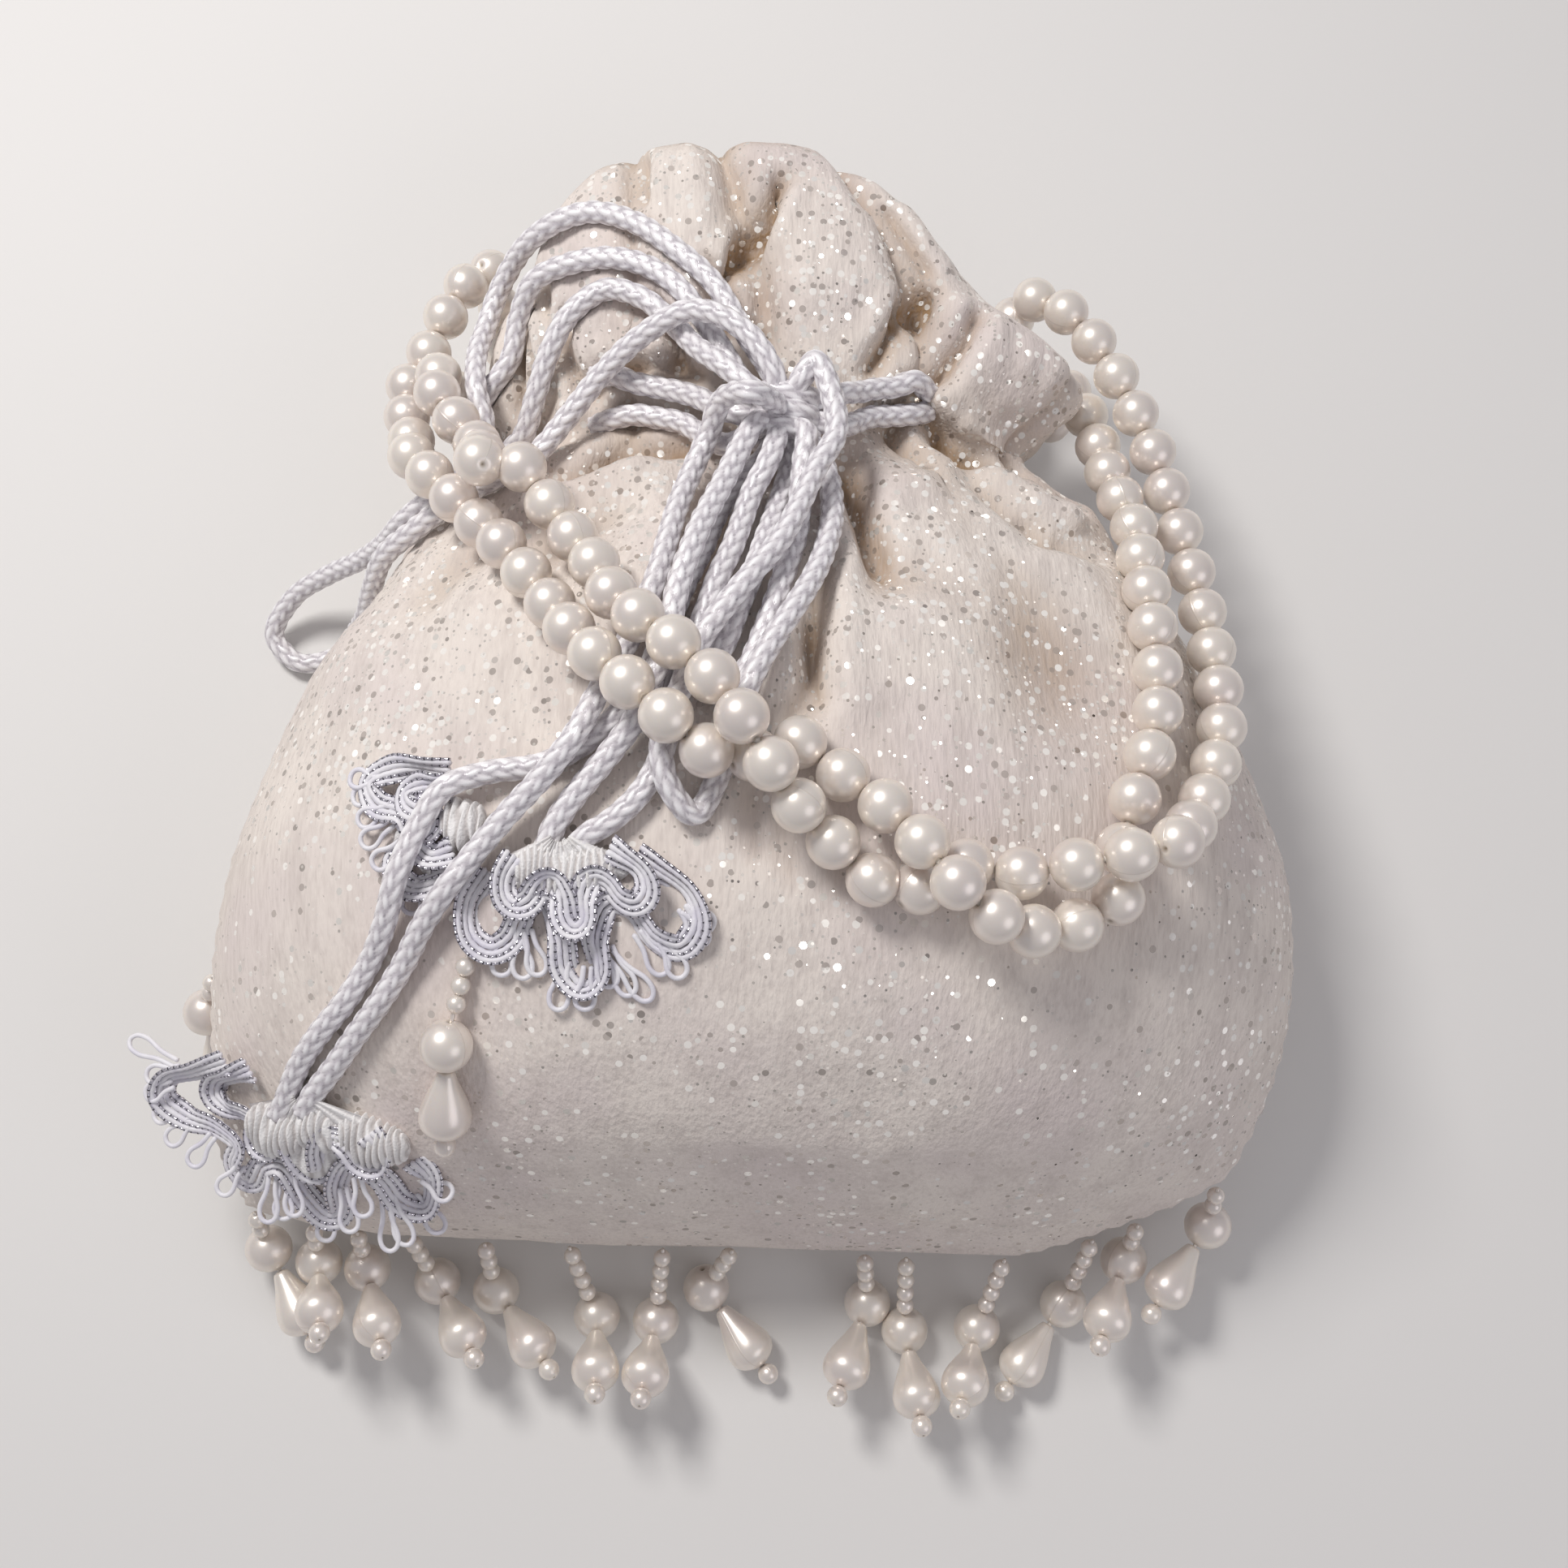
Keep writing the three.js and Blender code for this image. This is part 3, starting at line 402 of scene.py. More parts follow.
def bump(away):
    return np.where(np.abs(away) < 1, (1 - np.clip(away, -1, 1) ** 2) ** 2, 0.0)


# Meshes
def in_scene(name, data):
    """A new object with this data, in the scene."""
    made = bpy.data.objects.new(name, data)
    bpy.context.scene.collection.objects.link(made)
    return made


class Shape:
    """Points and faces of one piece, in millimetres, with a value or two at each point."""

    def __init__(self):
        self.points = []
        self.faces = []
        self.values = {}
        self.count = 0

    def add(self, points, faces, **values):
        """values are a number for each point, or one number for all of them."""
        self.faces += [tuple(corner + self.count for corner in face) for face in faces]
        self.points.append(np.asarray(points, float))
        for name, value in values.items():
            whole = np.broadcast_to(np.asarray(value, float), len(points))
            self.values.setdefault(name, []).append((self.count, whole))
        self.count += len(points)

    def piece(self, name, material, slot, body="bag", replaced=()):
        mesh = bpy.data.meshes.new(name)
        points = np.vstack(self.points) * MM
        mesh.from_pydata(points.tolist(), [], self.faces)
        for value_name, parts in self.values.items():
            whole = np.zeros(self.count)
            for start, part in parts:
                whole[start:start + len(part)] = part
            layer = mesh.attributes.new(value_name, "FLOAT", "POINT")
            layer.data.foreach_set("value", whole)
        mesh.polygons.foreach_set("use_smooth", [True] * len(mesh.polygons))
        mesh.update()
        mesh.materials.append(material)
        made = in_scene(name, mesh)
        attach(made, body)
        if replaced:
            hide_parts(*replaced)
        return made


def ring_faces(rings, sides):
    """Faces of a tube of rings. Two points after the last ring close its ends."""
    ring = np.arange(rings - 1)[:, None] * sides
    side = np.arange(sides)[None, :]
    following = (side + 1) % sides
    quads = np.stack([ring + side, ring + following, ring + sides + following, ring + sides + side], axis=-1)
    faces = [tuple(face) for face in quads.reshape(-1, 4).tolist()]
    start, end = rings * sides, rings * sides + 1
    last = (rings - 1) * sides
    faces += [(start, (index + 1) % sides, index) for index in range(sides)]
    faces += [(end, last + index, last + (index + 1) % sides) for index in range(sides)]
    return faces


def swept(path, radii, sides, round_share):
    """Points and faces of a tube. radii is one value, or one for each ring, or for each ring and side."""
    along, first, second = directions(path)
    angle = round_angles(sides)
    radii = np.asarray(radii, float)
    if radii.ndim < 2:
        radii = np.broadcast_to(radii.reshape(-1, 1), (len(path), sides))
    ring = (
        path[:, None, :]
        + first[:, None, :] * (np.cos(angle)[None, :, None] * radii[:, :, None])
        + second[:, None, :] * (np.sin(angle)[None, :, None] * radii[:, :, None])
    )
    ends = np.array([
        path[0] - along[0] * radii[0].mean() * round_share,
        path[-1] + along[-1] * radii[-1].mean() * round_share,
    ])
    return np.vstack([ring.reshape(-1, 3), ends]), ring_faces(len(path), sides)


# Materials
def fill_inputs(tree, node, inputs):
    """Gives each input a number or a colour, or links it to another node's output."""
    for name, value in inputs.items():
        if isinstance(value, bpy.types.NodeSocket):
            tree.links.new(value, node.inputs[name])
        else:
            node.inputs[name].default_value = value


def place(tree, kind, inputs, **settings):
    """A node with its settings and its inputs."""
    made = tree.nodes.new(kind)
    for name, value in settings.items():
        setattr(made, name, value)
    fill_inputs(tree, made, inputs)
    return made


def maths(tree, operation, first, second=0.0):
    return place(tree, "ShaderNodeMath", {0: first, 1: second}, operation=operation).outputs[0]


def vector_maths(tree, operation, first, second=(0, 0, 0)):
    return place(tree, "ShaderNodeVectorMath", {0: first, 1: second}, operation=operation).outputs[0]


def blended(tree, share, first, second, kind="RGBA"):
    """first where share is 0 and second where it is 1."""
    low, high, result = {"FLOAT": (2, 3, 0), "VECTOR": (4, 5, 1), "RGBA": (6, 7, 2)}[kind]
    return place(tree, "ShaderNodeMix", {0: share, low: first, high: second}, data_type=kind).outputs[result]


def ranged(tree, value, low, high, to_low=0.0, to_high=1.0):
    made = place(tree, "ShaderNodeMapRange", {
        "Value": value, "From Min": low, "From Max": high, "To Min": to_low, "To Max": to_high,
    })
    return made.outputs[0]


def colour(red, green, blue):
    """A colour as it shows on a screen, turned into the linear values that materials take."""
    return tuple(value / 12.92 if value < 0.04045 else ((value + 0.055) / 1.055) ** 2.4
                 for value in (red, green, blue)) + (1.0,)


def new_group(name, inputs, outputs):
    """An empty node group with named sockets, and its two end nodes."""
    group = bpy.data.node_groups.new(name, "ShaderNodeTree")
    for socket_name, kind, value in inputs:
        socket = group.interface.new_socket(name=socket_name, in_out="INPUT", socket_type=kind)
        socket.default_value = value
    for socket_name, kind in outputs:
        group.interface.new_socket(name=socket_name, in_out="OUTPUT", socket_type=kind)
    return group, group.nodes.new("NodeGroupInput"), group.nodes.new("NodeGroupOutput")


def use_group(tree, group, **inputs):
    named = {name.replace("_", " "): value for name, value in inputs.items()}
    return place(tree, "ShaderNodeGroup", named, node_tree=group)


def object_place(tree):
    return tree.nodes.new("ShaderNodeTexCoord").outputs["Object"]


def fibre_group():
    """Short fibres that lie along Y: a height for bumps and a light and dark value."""
    group, source, result = new_group(
        "fibre_grain",
        [("Across", "NodeSocketFloat", 1600.0), ("Along", "NodeSocketFloat", 300.0)],
        [("Height", "NodeSocketFloat"), ("Shade", "NodeSocketFloat")],
    )
    place_on = object_place(group)
    scale = place(group, "ShaderNodeCombineXYZ", {
        "X": source.outputs["Across"], "Y": source.outputs["Along"], "Z": source.outputs["Across"],
    }).outputs[0]
    stretched = vector_maths(group, "MULTIPLY", place_on, scale)
    fine = place(group, "ShaderNodeTexNoise", {"Vector": stretched, "Scale": 1.0, "Detail": 2.0})
    broad = place(group, "ShaderNodeTexNoise", {"Vector": stretched, "Scale": 0.17, "Detail": 3.0})
    shade = maths(group, "MULTIPLY", fine.outputs[0], broad.outputs[0])
    fill_inputs(group, result, {"Height": fine.outputs[0], "Shade": shade})
    return group


def shading_group():
    """Cloth with painted shade: darker and warmer where it lies deep, with faint patches."""
    group, source, result = new_group(
        "painted_shade_and_patches",
        [("Colour", "NodeSocketColor", (0.8, 0.8, 0.8, 1)),
         ("Deep Colour", "NodeSocketColor", (0.3, 0.2, 0.1, 1)),
         ("Depth", "NodeSocketFloat", 0.0), ("Patches", "NodeSocketFloat", 60.0),
         ("Patch Colour", "NodeSocketColor", (0.7, 0.6, 0.6, 1))],
        [("Colour", "NodeSocketColor")],
    )
    place_on = object_place(group)
    cloud = place(group, "ShaderNodeTexNoise", {
        "Vector": place_on, "Scale": source.outputs["Patches"], "Detail": 2.0, "Roughness": 0.5,
    }).outputs[0]
    patch = ranged(group, cloud, 0.42, 0.68)
    tinted = blended(group, patch, source.outputs["Colour"], source.outputs["Patch Colour"])
    deep = blended(group, source.outputs["Depth"], tinted, source.outputs["Deep Colour"])
    fill_inputs(group, result, {"Colour": deep})
    return group


def flakes_group():
    """Round glitter flakes: where they are, how bright each is, and the way that each one faces."""
    group, source, result = new_group(
        "glitter_flakes",
        [("Scale", "NodeSocketFloat", 450.0), ("Size", "NodeSocketFloat", 0.25),
         ("Share", "NodeSocketFloat", 0.5), ("Tilt", "NodeSocketFloat", 0.6)],
        [("Mask", "NodeSocketFloat"), ("Tone", "NodeSocketFloat"), ("Normal", "NodeSocketVector")],
    )
    place_on = object_place(group)
    cells = place(group, "ShaderNodeTexVoronoi", {"Vector": place_on, "Scale": source.outputs["Scale"]})
    parts = place(group, "ShaderNodeSeparateColor", {"Color": cells.outputs["Color"]})
    inside = maths(group, "LESS_THAN", cells.outputs["Distance"], source.outputs["Size"])
    chosen = maths(group, "LESS_THAN", parts.outputs[0], source.outputs["Share"])
    facing = group.nodes.new("ShaderNodeNewGeometry").outputs["Normal"]
    lean = vector_maths(group, "SUBTRACT", cells.outputs["Color"], (0.5, 0.5, 0.5))
    tilts = {axis: source.outputs["Tilt"] for axis in "XYZ"}
    strength = place(group, "ShaderNodeCombineXYZ", tilts).outputs[0]
    leaning = vector_maths(group, "ADD", facing, vector_maths(group, "MULTIPLY", lean, strength))
    fill_inputs(group, result, {
        "Mask": maths(group, "MULTIPLY", inside, chosen), "Tone": parts.outputs[1],
        "Normal": vector_maths(group, "NORMALIZE", leaning),
    })
    return group


fibre_grain = fibre_group()
painted_shade_and_patches = shading_group()
glitter_flakes = flakes_group()


def new_material(name, inputs):
    """A material whose shader has these constant inputs, its node tree and its shader."""
    made = bpy.data.materials.new(name)
    made.use_nodes = True
    shader = made.node_tree.nodes["Principled BSDF"]
    for socket, value in inputs.items():
        shader.inputs[socket].default_value = value
    return made, made.node_tree, shader


def attribute(tree, name):
    node = place(tree, "ShaderNodeAttribute", {}, attribute_name=name, attribute_type="GEOMETRY")
    return node.outputs["Fac"]


def bumped(tree, height, strength, distance):
    return place(tree, "ShaderNodeBump", {
        "Height": height, "Strength": strength, "Distance": distance,
    }).outputs[0]


def velvet_material():
    made, tree, shader = new_material("ivory_velvet", {
        "Sheen Weight": 0.25, "Sheen Roughness": 0.45, "Sheen Tint": colour(1.0, 0.97, 0.93), "IOR": 1.4,
        "Specular IOR Level": 0.25,
    })
    grain = use_group(tree, fibre_grain, Across=1300.0, Along=260.0)
    # Painted shade: the cloth turns a darker, warmer colour where the depth attribute marks creases, gathers,
    # the mouth and the neck
    cloth = use_group(
        tree, painted_shade_and_patches, Colour=colour(0.905, 0.87, 0.838), Deep_Colour=colour(0.64, 0.53, 0.41),
        Depth=attribute(tree, "depth"), Patches=38.0, Patch_Colour=colour(0.865, 0.822, 0.805),
    ).outputs[0]
    brushed = ranged(tree, grain.outputs["Shade"], 0.1, 0.42, 0.0, 0.3)
    napped = blended(tree, brushed, colour(0.78, 0.74, 0.715), cloth)
    cloth = blended(tree, ranged(tree, grain.outputs["Shade"], 0.05, 0.3, 0.25, 1.0), napped, cloth)
    share = attribute(tree, "glitter")
    fewer = maths(tree, "MULTIPLY", share, 0.6)
    large = use_group(tree, glitter_flakes, Scale=600.0, Size=0.36, Share=share, Tilt=1.1)
    small = use_group(tree, glitter_flakes, Scale=1300.0, Size=0.32, Share=fewer, Tilt=1.5)
    bright = ranged(tree, large.outputs["Tone"], 0.3, 0.34)
    flake_colour = blended(tree, bright, colour(0.74, 0.7, 0.665), colour(1.0, 0.985, 0.96))
    seen = maths(tree, "MULTIPLY", large.outputs["Mask"], ranged(tree, bright, 0, 1, 0.5, 1.0))
    painted = blended(tree, seen, cloth, flake_colour)
    faint = maths(tree, "MULTIPLY", small.outputs["Mask"], 0.6)
    painted = blended(tree, faint, painted, colour(0.97, 0.95, 0.92))
    flakes = maths(tree, "MAXIMUM", large.outputs["Mask"], small.outputs["Mask"])
    nap = bumped(tree, grain.outputs["Height"], 0.5, 0.0006)
    facing = blended(tree, large.outputs["Mask"], nap, large.outputs["Normal"], "VECTOR")
    facing = blended(tree, small.outputs["Mask"], facing, small.outputs["Normal"], "VECTOR")
    fill_inputs(tree, shader, {
        "Base Color": painted, "Roughness": blended(tree, flakes, 0.85, 0.22, "FLOAT"),
        "Metallic": maths(tree, "MULTIPLY", flakes, 0.3), "Normal": facing,
    })
    return made


def weave(tree, shader, top, deep, patches, patch, grain_scale, roughness, relief):
    """Threads or gathers with a fine grain and painted shade: darker where they lie deep, with faint patches.

    roughness is its least and its most, and relief the strength and the height of the grain."""
    cloth = use_group(
        tree, painted_shade_and_patches, Colour=top, Deep_Colour=deep, Depth=attribute(tree, "depth"),
        Patches=patches, Patch_Colour=patch,
    )
    grain = use_group(tree, fibre_grain, Across=grain_scale[0], Along=grain_scale[1])
    fill_inputs(tree, shader, {
        "Base Color": cloth.outputs[0],
        "Roughness": ranged(tree, grain.outputs["Shade"], 0.1, 0.5, *roughness),
        "Normal": bumped(tree, grain.outputs["Height"], *relief),
    })


def cord_material():
    made, tree, shader = new_material("braided_satin", {
        "Sheen Weight": 0.1, "IOR": 1.5, "Specular IOR Level": 0.9,
    })
    # Painted sheen and highlights: strands that slant one way are painted lighter than those that slant the
    # other way, the crown of each float gets a painted highlight, and painted shade darkens the crevices
    slant = blended(tree, attribute(tree, "slant"), colour(0.9, 0.885, 0.895), colour(0.8, 0.78, 0.8))
    crown = ranged(tree, attribute(tree, "crown"), 0.45, 0.95)
    bright = blended(tree, crown, slant, colour(0.985, 0.98, 0.985))
    weave(
        tree, shader, bright, colour(0.56, 0.53, 0.56), 150.0, bright, (5200.0, 2600.0), (0.22, 0.4),
        (0.25, 0.0002),
    )
    return made


def gathered_material():
    made, tree, shader = new_material("gathered_cotton", {"Sheen Weight": 0.2, "Specular IOR Level": 0.25})
    # The second colour is painted shade, mixed in at the troughs of the ribs and the pleats
    weave(
        tree, shader, colour(0.955, 0.95, 0.945), colour(0.69, 0.66, 0.65), 200.0, colour(0.92, 0.91, 0.905),
        (2600.0, 2200.0), (0.75, 0.95), (0.6, 0.0004),
    )
    return made


def braid_material():
    made, tree, shader = new_material("gimp_cord", {"Sheen Weight": 0.15, "Specular IOR Level": 0.45})
    weave(
        tree, shader, colour(0.93, 0.925, 0.94), colour(0.58, 0.56, 0.6), 240.0, colour(0.87, 0.86, 0.9),
        (6000.0, 6000.0), (0.4, 0.6), (0.3, 0.0002),
    )
    return made


def pearl_material():
    made, tree, shader = new_material("pearl_coating", {
        "Subsurface Weight": 0.15, "Subsurface Radius": (1.0, 0.8, 0.55), "Subsurface Scale": 0.003,
        "Coat Roughness": 0.2, "IOR": 1.55, "Specular IOR Level": 0.6, "Sheen Weight": 0.3,
        "Sheen Tint": colour(1.0, 0.95, 0.88),
    })
    seam = ranged(tree, attribute(tree, "round"), 0.0, 0.016, 1.0, 0.0)
    cloud = place(tree, "ShaderNodeTexNoise", {"Vector": object_place(tree), "Scale": 90.0, "Detail": 1.0})
    warmth = ranged(tree, cloud.outputs[0], 0.4, 0.62)
    shell = blended(tree, warmth, colour(0.95, 0.92, 0.885), colour(0.93, 0.895, 0.87))
    shell = blended(tree, maths(tree, "MULTIPLY", seam, 0.3), shell, colour(0.72, 0.67, 0.62))
    # Painted shade darkens the drill holes, and a little of it tints the strings
    shell = blended(tree, attribute(tree, "hole"), shell, colour(0.6, 0.54, 0.45))
    fill_inputs(tree, shader, {
        "Base Color": shell, "Roughness": ranged(tree, seam, 0.0, 1.0, 0.33, 0.45),
        "Metallic": ranged(tree, warmth, 0.0, 1.0, 0.42, 0.5),
        "Coat Weight": ranged(tree, seam, 0.0, 1.0, 0.3, 0.1), "Normal": bumped(tree, seam, 0.3, 0.0001),
    })
    return made


def metal_thread_material():
    made, tree, shader = new_material("silver_thread", {"Coat Roughness": 0.1})
    turn = maths(tree, "SINE", maths(tree, "MULTIPLY", attribute(tree, "travel"), 5.2))
    gap = ranged(tree, turn, 0.72, 0.9)
    fill_inputs(tree, shader, {
        "Base Color": blended(tree, gap, colour(0.86, 0.85, 0.88), colour(0.25, 0.24, 0.28)),
        "Metallic": blended(tree, gap, 1.0, 0.4, "FLOAT"),
        "Roughness": blended(tree, gap, 0.22, 0.5, "FLOAT"),
        "Normal": bumped(tree, turn, 0.4, 0.0002),
    })
    return made


def thread_material():
    made, tree, shader = new_material("bead_thread", {"Specular IOR Level": 0.5})
    grain = use_group(tree, fibre_grain, Across=4000.0, Along=4000.0)
    tone = blended(tree, grain.outputs["Shade"], colour(0.93, 0.91, 0.88), colour(0.8, 0.77, 0.72))
    fill_inputs(tree, shader, {
        "Base Color": tone, "Roughness": ranged(tree, grain.outputs["Height"], 0.3, 0.7, 0.35, 0.5),
    })
    return made


velvet = velvet_material()
satin = cord_material()
pearl = pearl_material()
gathered = gathered_material()
gimp = braid_material()
silver = metal_thread_material()
bead_thread = thread_material()

# Camera
camera_data = bpy.data.cameras.new("camera")
camera_data.sensor_width = 36
camera_data.lens = 42.82
camera = in_scene("camera", camera_data)
camera.location = (0.0045, -0.05547, 0.338)
camera.rotation_euler = (math.radians(12), 0, 0)
bpy.context.scene.camera = camera

# Braided cords
braid_sides = 40
braid_step = 0.34
braid_strands = 8
braid_pitch = 2.9
braid_relief = 0.36
braid_flatness = 0.96
float_end_height = 0.35
braid_shade = 0.8
shade_fall = 1.9
cord_end_round = 0.4


def braid_values(travelled, angle):
    """Height of the plaited surface at each ring and side, which way its top strand slants, and its crown.

    Each strand passes over two others and under two, so its floats lie in columns along the cord."""
    run = travelled[:, None] / braid_pitch
    round_share = braid_strands * angle[None, :] / (2 * math.pi)
    forward, backward = run + round_share, run - round_share
    first, second = np.floor(forward), np.floor(backward)
    over = ((first - second) % 4) < 2
    across = np.where(over, forward - first, backward - second) * 2 - 1
    along = np.where(over, (backward - first + 1) % 4, (forward - second - 2) % 4) / 2
    dome = np.sqrt(np.clip(1 - braid_flatness * across ** 2, 0, 1))
    arch = np.sin(math.pi * np.clip(along, 0, 1))
    height = dome * (float_end_height + (1 - float_end_height) * arch)
    return height, over.astype(float), dome * arch


def add_braid(shape, route):
    path = smooth_path(route, braid_step)
    height, over, crown = braid_values(travelled_along(path), round_angles(braid_sides))
    base = cord_diameter / 2 - braid_relief
    # Painted shade darkens the crevices between the floats; the slant and crown values carry the painted
    # sheen and highlight
    shade = np.clip(braid_shade - shade_fall * height, 0, 1)
    shape.add(
        *swept(path, base + braid_relief * height, braid_sides, cord_end_round),
        depth=np.append(shade, [0.5, 0.5]), slant=np.append(over, [0, 0]), crown=np.append(crown, [0, 0]),
    )
    return path


knot_centre = np.array([4.5, 63.5, 59.5])
knot_reach = 9.5
tuck_in = 3.2
# Where a cord goes on out of sight: a neck cord into the gathers, a tail into its rosette
hidden_starts = {"neck_cord_left_upper": (-27, 75, 49.5), "neck_cord_left_lower": (-27, 67.5, 46.5)}
hidden_ends = {
    "neck_cord_right_upper": (28.8, 73, 47.2), "neck_cord_right_lower": (28.6, 70.5, 45.2),
    "tail_near_left": (-70, -45, 44.6), "tail_near_right": (-74.6, -45.6, 41.8),
    "tail_far_left": (-30.3, -7.6, 69.2), "tail_far_right": (-26.4, -8.8, 69.4),
}


def into_knot(point):
    """The place a little further into the knot, for a cord that ends at it."""
    inward = knot_centre - np.array(point)
    away = np.linalg.norm(inward)
    return [list(np.array(point) + inward / away * tuck_in)] if away < knot_reach else []


def whole_route(name, route):
    start = [list(hidden_starts[name])] if name in hidden_starts else into_knot(route[0])
    end = [list(hidden_ends[name])] if name in hidden_ends else into_knot(route[-1])
    return start + route + end


paths = {}
whole_paths = {}
for name, route in {**neck_cord_routes, **cord_routes}.items():
    shape = Shape()
    whole_paths[name] = add_braid(shape, whole_route(name, route))
    paths[name] = smooth_path(route, braid_step)
    shape.piece(name + "_braid", satin, replaced=[name], slot="satin_cord")

# The knot: the cord wound three times round the strands that it ties, with both its ends underneath
knot_half_width = 4.3
knot_half_length = 4.4
knot_half_depth = 3.45
knot_sway = 0.5
knot_lean = math.radians(-14)
half_turns = np.linspace(-0.5, 5.5, 60)
turns = half_turns * math.pi
wound = np.column_stack([
    -knot_half_width * np.cos(turns) + knot_sway * np.sin(turns / 3),
    -knot_half_length + 2 * knot_half_length * (half_turns + 0.5) / 6,
    knot_half_depth * np.sin(turns),
])
wound[:, :2] = wound[:, :2] @ np.array([
    [math.cos(knot_lean), math.sin(knot_lean)], [-math.sin(knot_lean), math.cos(knot_lean)],
])
knot_shape = Shape()
add_braid(knot_shape, (knot_centre + wound).tolist())
knot_piece = knot_shape.piece("drawcord_knot_braid", satin, replaced=["drawcord_knot"], slot="satin_cord")


# Pearls
hole_angle = 0.16
hole_dimple = 0.12
full_turn = 6.28
bead_play = 0.02
spins = np.random.default_rng(7)


def add_bead(shape, centre, axis, radius, sides=24, rings=15, profile=None):
    """A bead with its holes at the ends of its axis, turned by chance round it.

    profile gives rows of place along and radius."""
    axis = unit(np.asarray(axis, float))
    first = np.cross(axis, [0.0, 0.0, 1.0])
    if np.linalg.norm(first) < 0.05:
        first = np.array([1.0, 0.0, 0.0])
    first = unit(first)
    second = np.cross(axis, first)
    if profile is None:
        polar = np.linspace(hole_angle, math.pi - hole_angle, rings)
        profile = np.column_stack([-np.cos(polar) * radius, np.sin(polar) * radius])
    profile = np.asarray(profile, float)
    angle = round_angles(sides)
    turn = angle + spins.uniform(0, full_turn)
    outward = np.cos(turn)[:, None] * first + np.sin(turn)[:, None] * second
    ring = centre + profile[:, 0][:, None, None] * axis + profile[:, 1][:, None, None] * outward
    dimple = radius * hole_dimple
    ends = np.array([centre + axis * (profile[0, 0] + dimple), centre + axis * (profile[-1, 0] - dimple)])
    around = np.minimum(angle, 2 * math.pi - angle) / math.pi
    shape.add(
        np.vstack([ring.reshape(-1, 3), ends]), ring_faces(len(profile), sides),
        round=np.append(np.tile(around, len(profile)), [0.5, 0.5]),
        hole=np.append(np.zeros(len(profile) * sides), [1, 1]),
    )


strand_step = 0.25
thread_every = 16
strand_beads = {}
for name, route in strand_routes.items():
    path = smooth_path(route, strand_step)
    beads = int(round(path_length(path) / pearl_diameter))
    along = directions(path)[0]
    shape = Shape()
    centres = []
    for bead in range(beads + 1):
        index = int(round(bead / beads * (len(path) - 1)))
        add_bead(shape, path[index], along[index], pearl_diameter / 2 - bead_play)
        centres.append(path[index])
    strand_beads[name] = centres
    pearls = shape.piece(name + "_pearls", pearl, replaced=[name], slot="pearl")
    thread_path = path[::thread_every]
    curve = bpy.data.curves.new(name + "_thread", "CURVE")
    curve.dimensions = "3D"
    curve.bevel_depth = thread_diameter / 2 * MM
    curve.bevel_resolution = 2
    spline = curve.splines.new("POLY")
    spline.points.add(len(thread_path) - 1)
    for point, place_at in zip(spline.points, thread_path):
        point.co = (*(place_at * MM), 1)
    curve.materials.append(bead_thread)
    thread = in_scene(name + "_thread", curve)
    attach(thread, "bag")

# Padded cloth
cloth_sides = 300
cloth_steps = 9


def through_rows(table, steps):
    """A smooth curve through the rows of a table."""
    table = np.array(table, float)
    padded = np.vstack([2 * table[0] - table[1], table, 2 * table[-1] - table[-2]])
    share = np.linspace(0, 1, steps, endpoint=False)[:, None]
    out = []
    for index in range(1, len(padded) - 2):
        before, start, end, beyond = padded[index - 1:index + 3]
        cubic = 3 * (start - end) + beyond - before
        square = 2 * before - 5 * start + 4 * end - beyond
        out.append(start + 0.5 * share * (end - before + share * (square + share * cubic)))
    return np.vstack(out + [table[-1][None]])


def body_section(row):
    along, belly, neck, belly_rise, neck_rise, lift, shift = row
    return [
        seam_y + body_length * along, shift, seam_height + (neck_height - seam_height) * lift,
        belly_width / 2 * belly + neck_width / 2 * neck,
        (belly_thickness - neck_height) * belly_rise + neck_thickness / 2 * neck_rise,
        (neck_height + back_sag) * belly_rise + neck_thickness / 2 * neck_rise,
        0.0, max(0.0, (along - fold_start) / (1 - fold_start)) * neck_fold_strength, 1.0,
    ]


def frill_section(row, index):
    along, width, thickness, drop, shift = row
    half = frill_thickness / 2 * thickness
    return [
        neck_y + frill_length * along, shift, neck_height, frill_width / 2 * width, half, half,
        rim_drop * drop, neck_fold_strength + (1 - neck_fold_strength) * along, float(index < rim_row),
    ]


def turn_from(degrees, start):
    """The turn from one direction to others, from -180 to 180 degrees."""
    return (degrees - start + 540) % 360 - 180


def fold_depth(degrees, strength):
    """How deep the gathers lie: each is a shallow trough with a narrow crease down its middle."""
    depth = np.zeros(np.broadcast(degrees, strength).shape)
    for fold_angle, rim_depth in folds:
        away = turn_from(degrees, fold_angle)
        depth += trough_share * rim_depth * strength * bump(away / fold_half_angle)
        depth += crease_share * rim_depth * strength * np.exp(-(away / crease_half_angle) ** 2)
    return depth


def cloth_points(angle, sections):
    """Points of the cloth for each section (rows) and angle (columns)."""
    y, centre_x, centre_z, half_width, rise, sag, drop, strength, outside = [
        column[:, None] for column in np.asarray(sections, float).T
    ]
    across, up = np.cos(angle)[None, :], np.sin(angle)[None, :]
    degrees = np.degrees(angle)[None, :]
    share = bump(turn_from(degrees, lobe_angle) / lobe_reach) * bump((y - lobe_y) / lobe_length)
    depth = fold_depth(degrees, strength) - lobe_height * share * outside
    x = centre_x + across * (half_width - depth)
    height = np.where(up > 0, rise, sag) - depth
    z = centre_z + up * np.maximum(height, least_height)
    tilt = np.where(y < 0, seam_tilt * x * (y / seam_y), 0)
    side_drop = drop * np.abs(across) ** rim_drop_power
    return np.stack([x, y - tilt - side_drop, z], axis=-1)


sections = [body_section(row) for row in body_profile]
sections += [frill_section(row, index) for index, row in enumerate(frill_profile)]


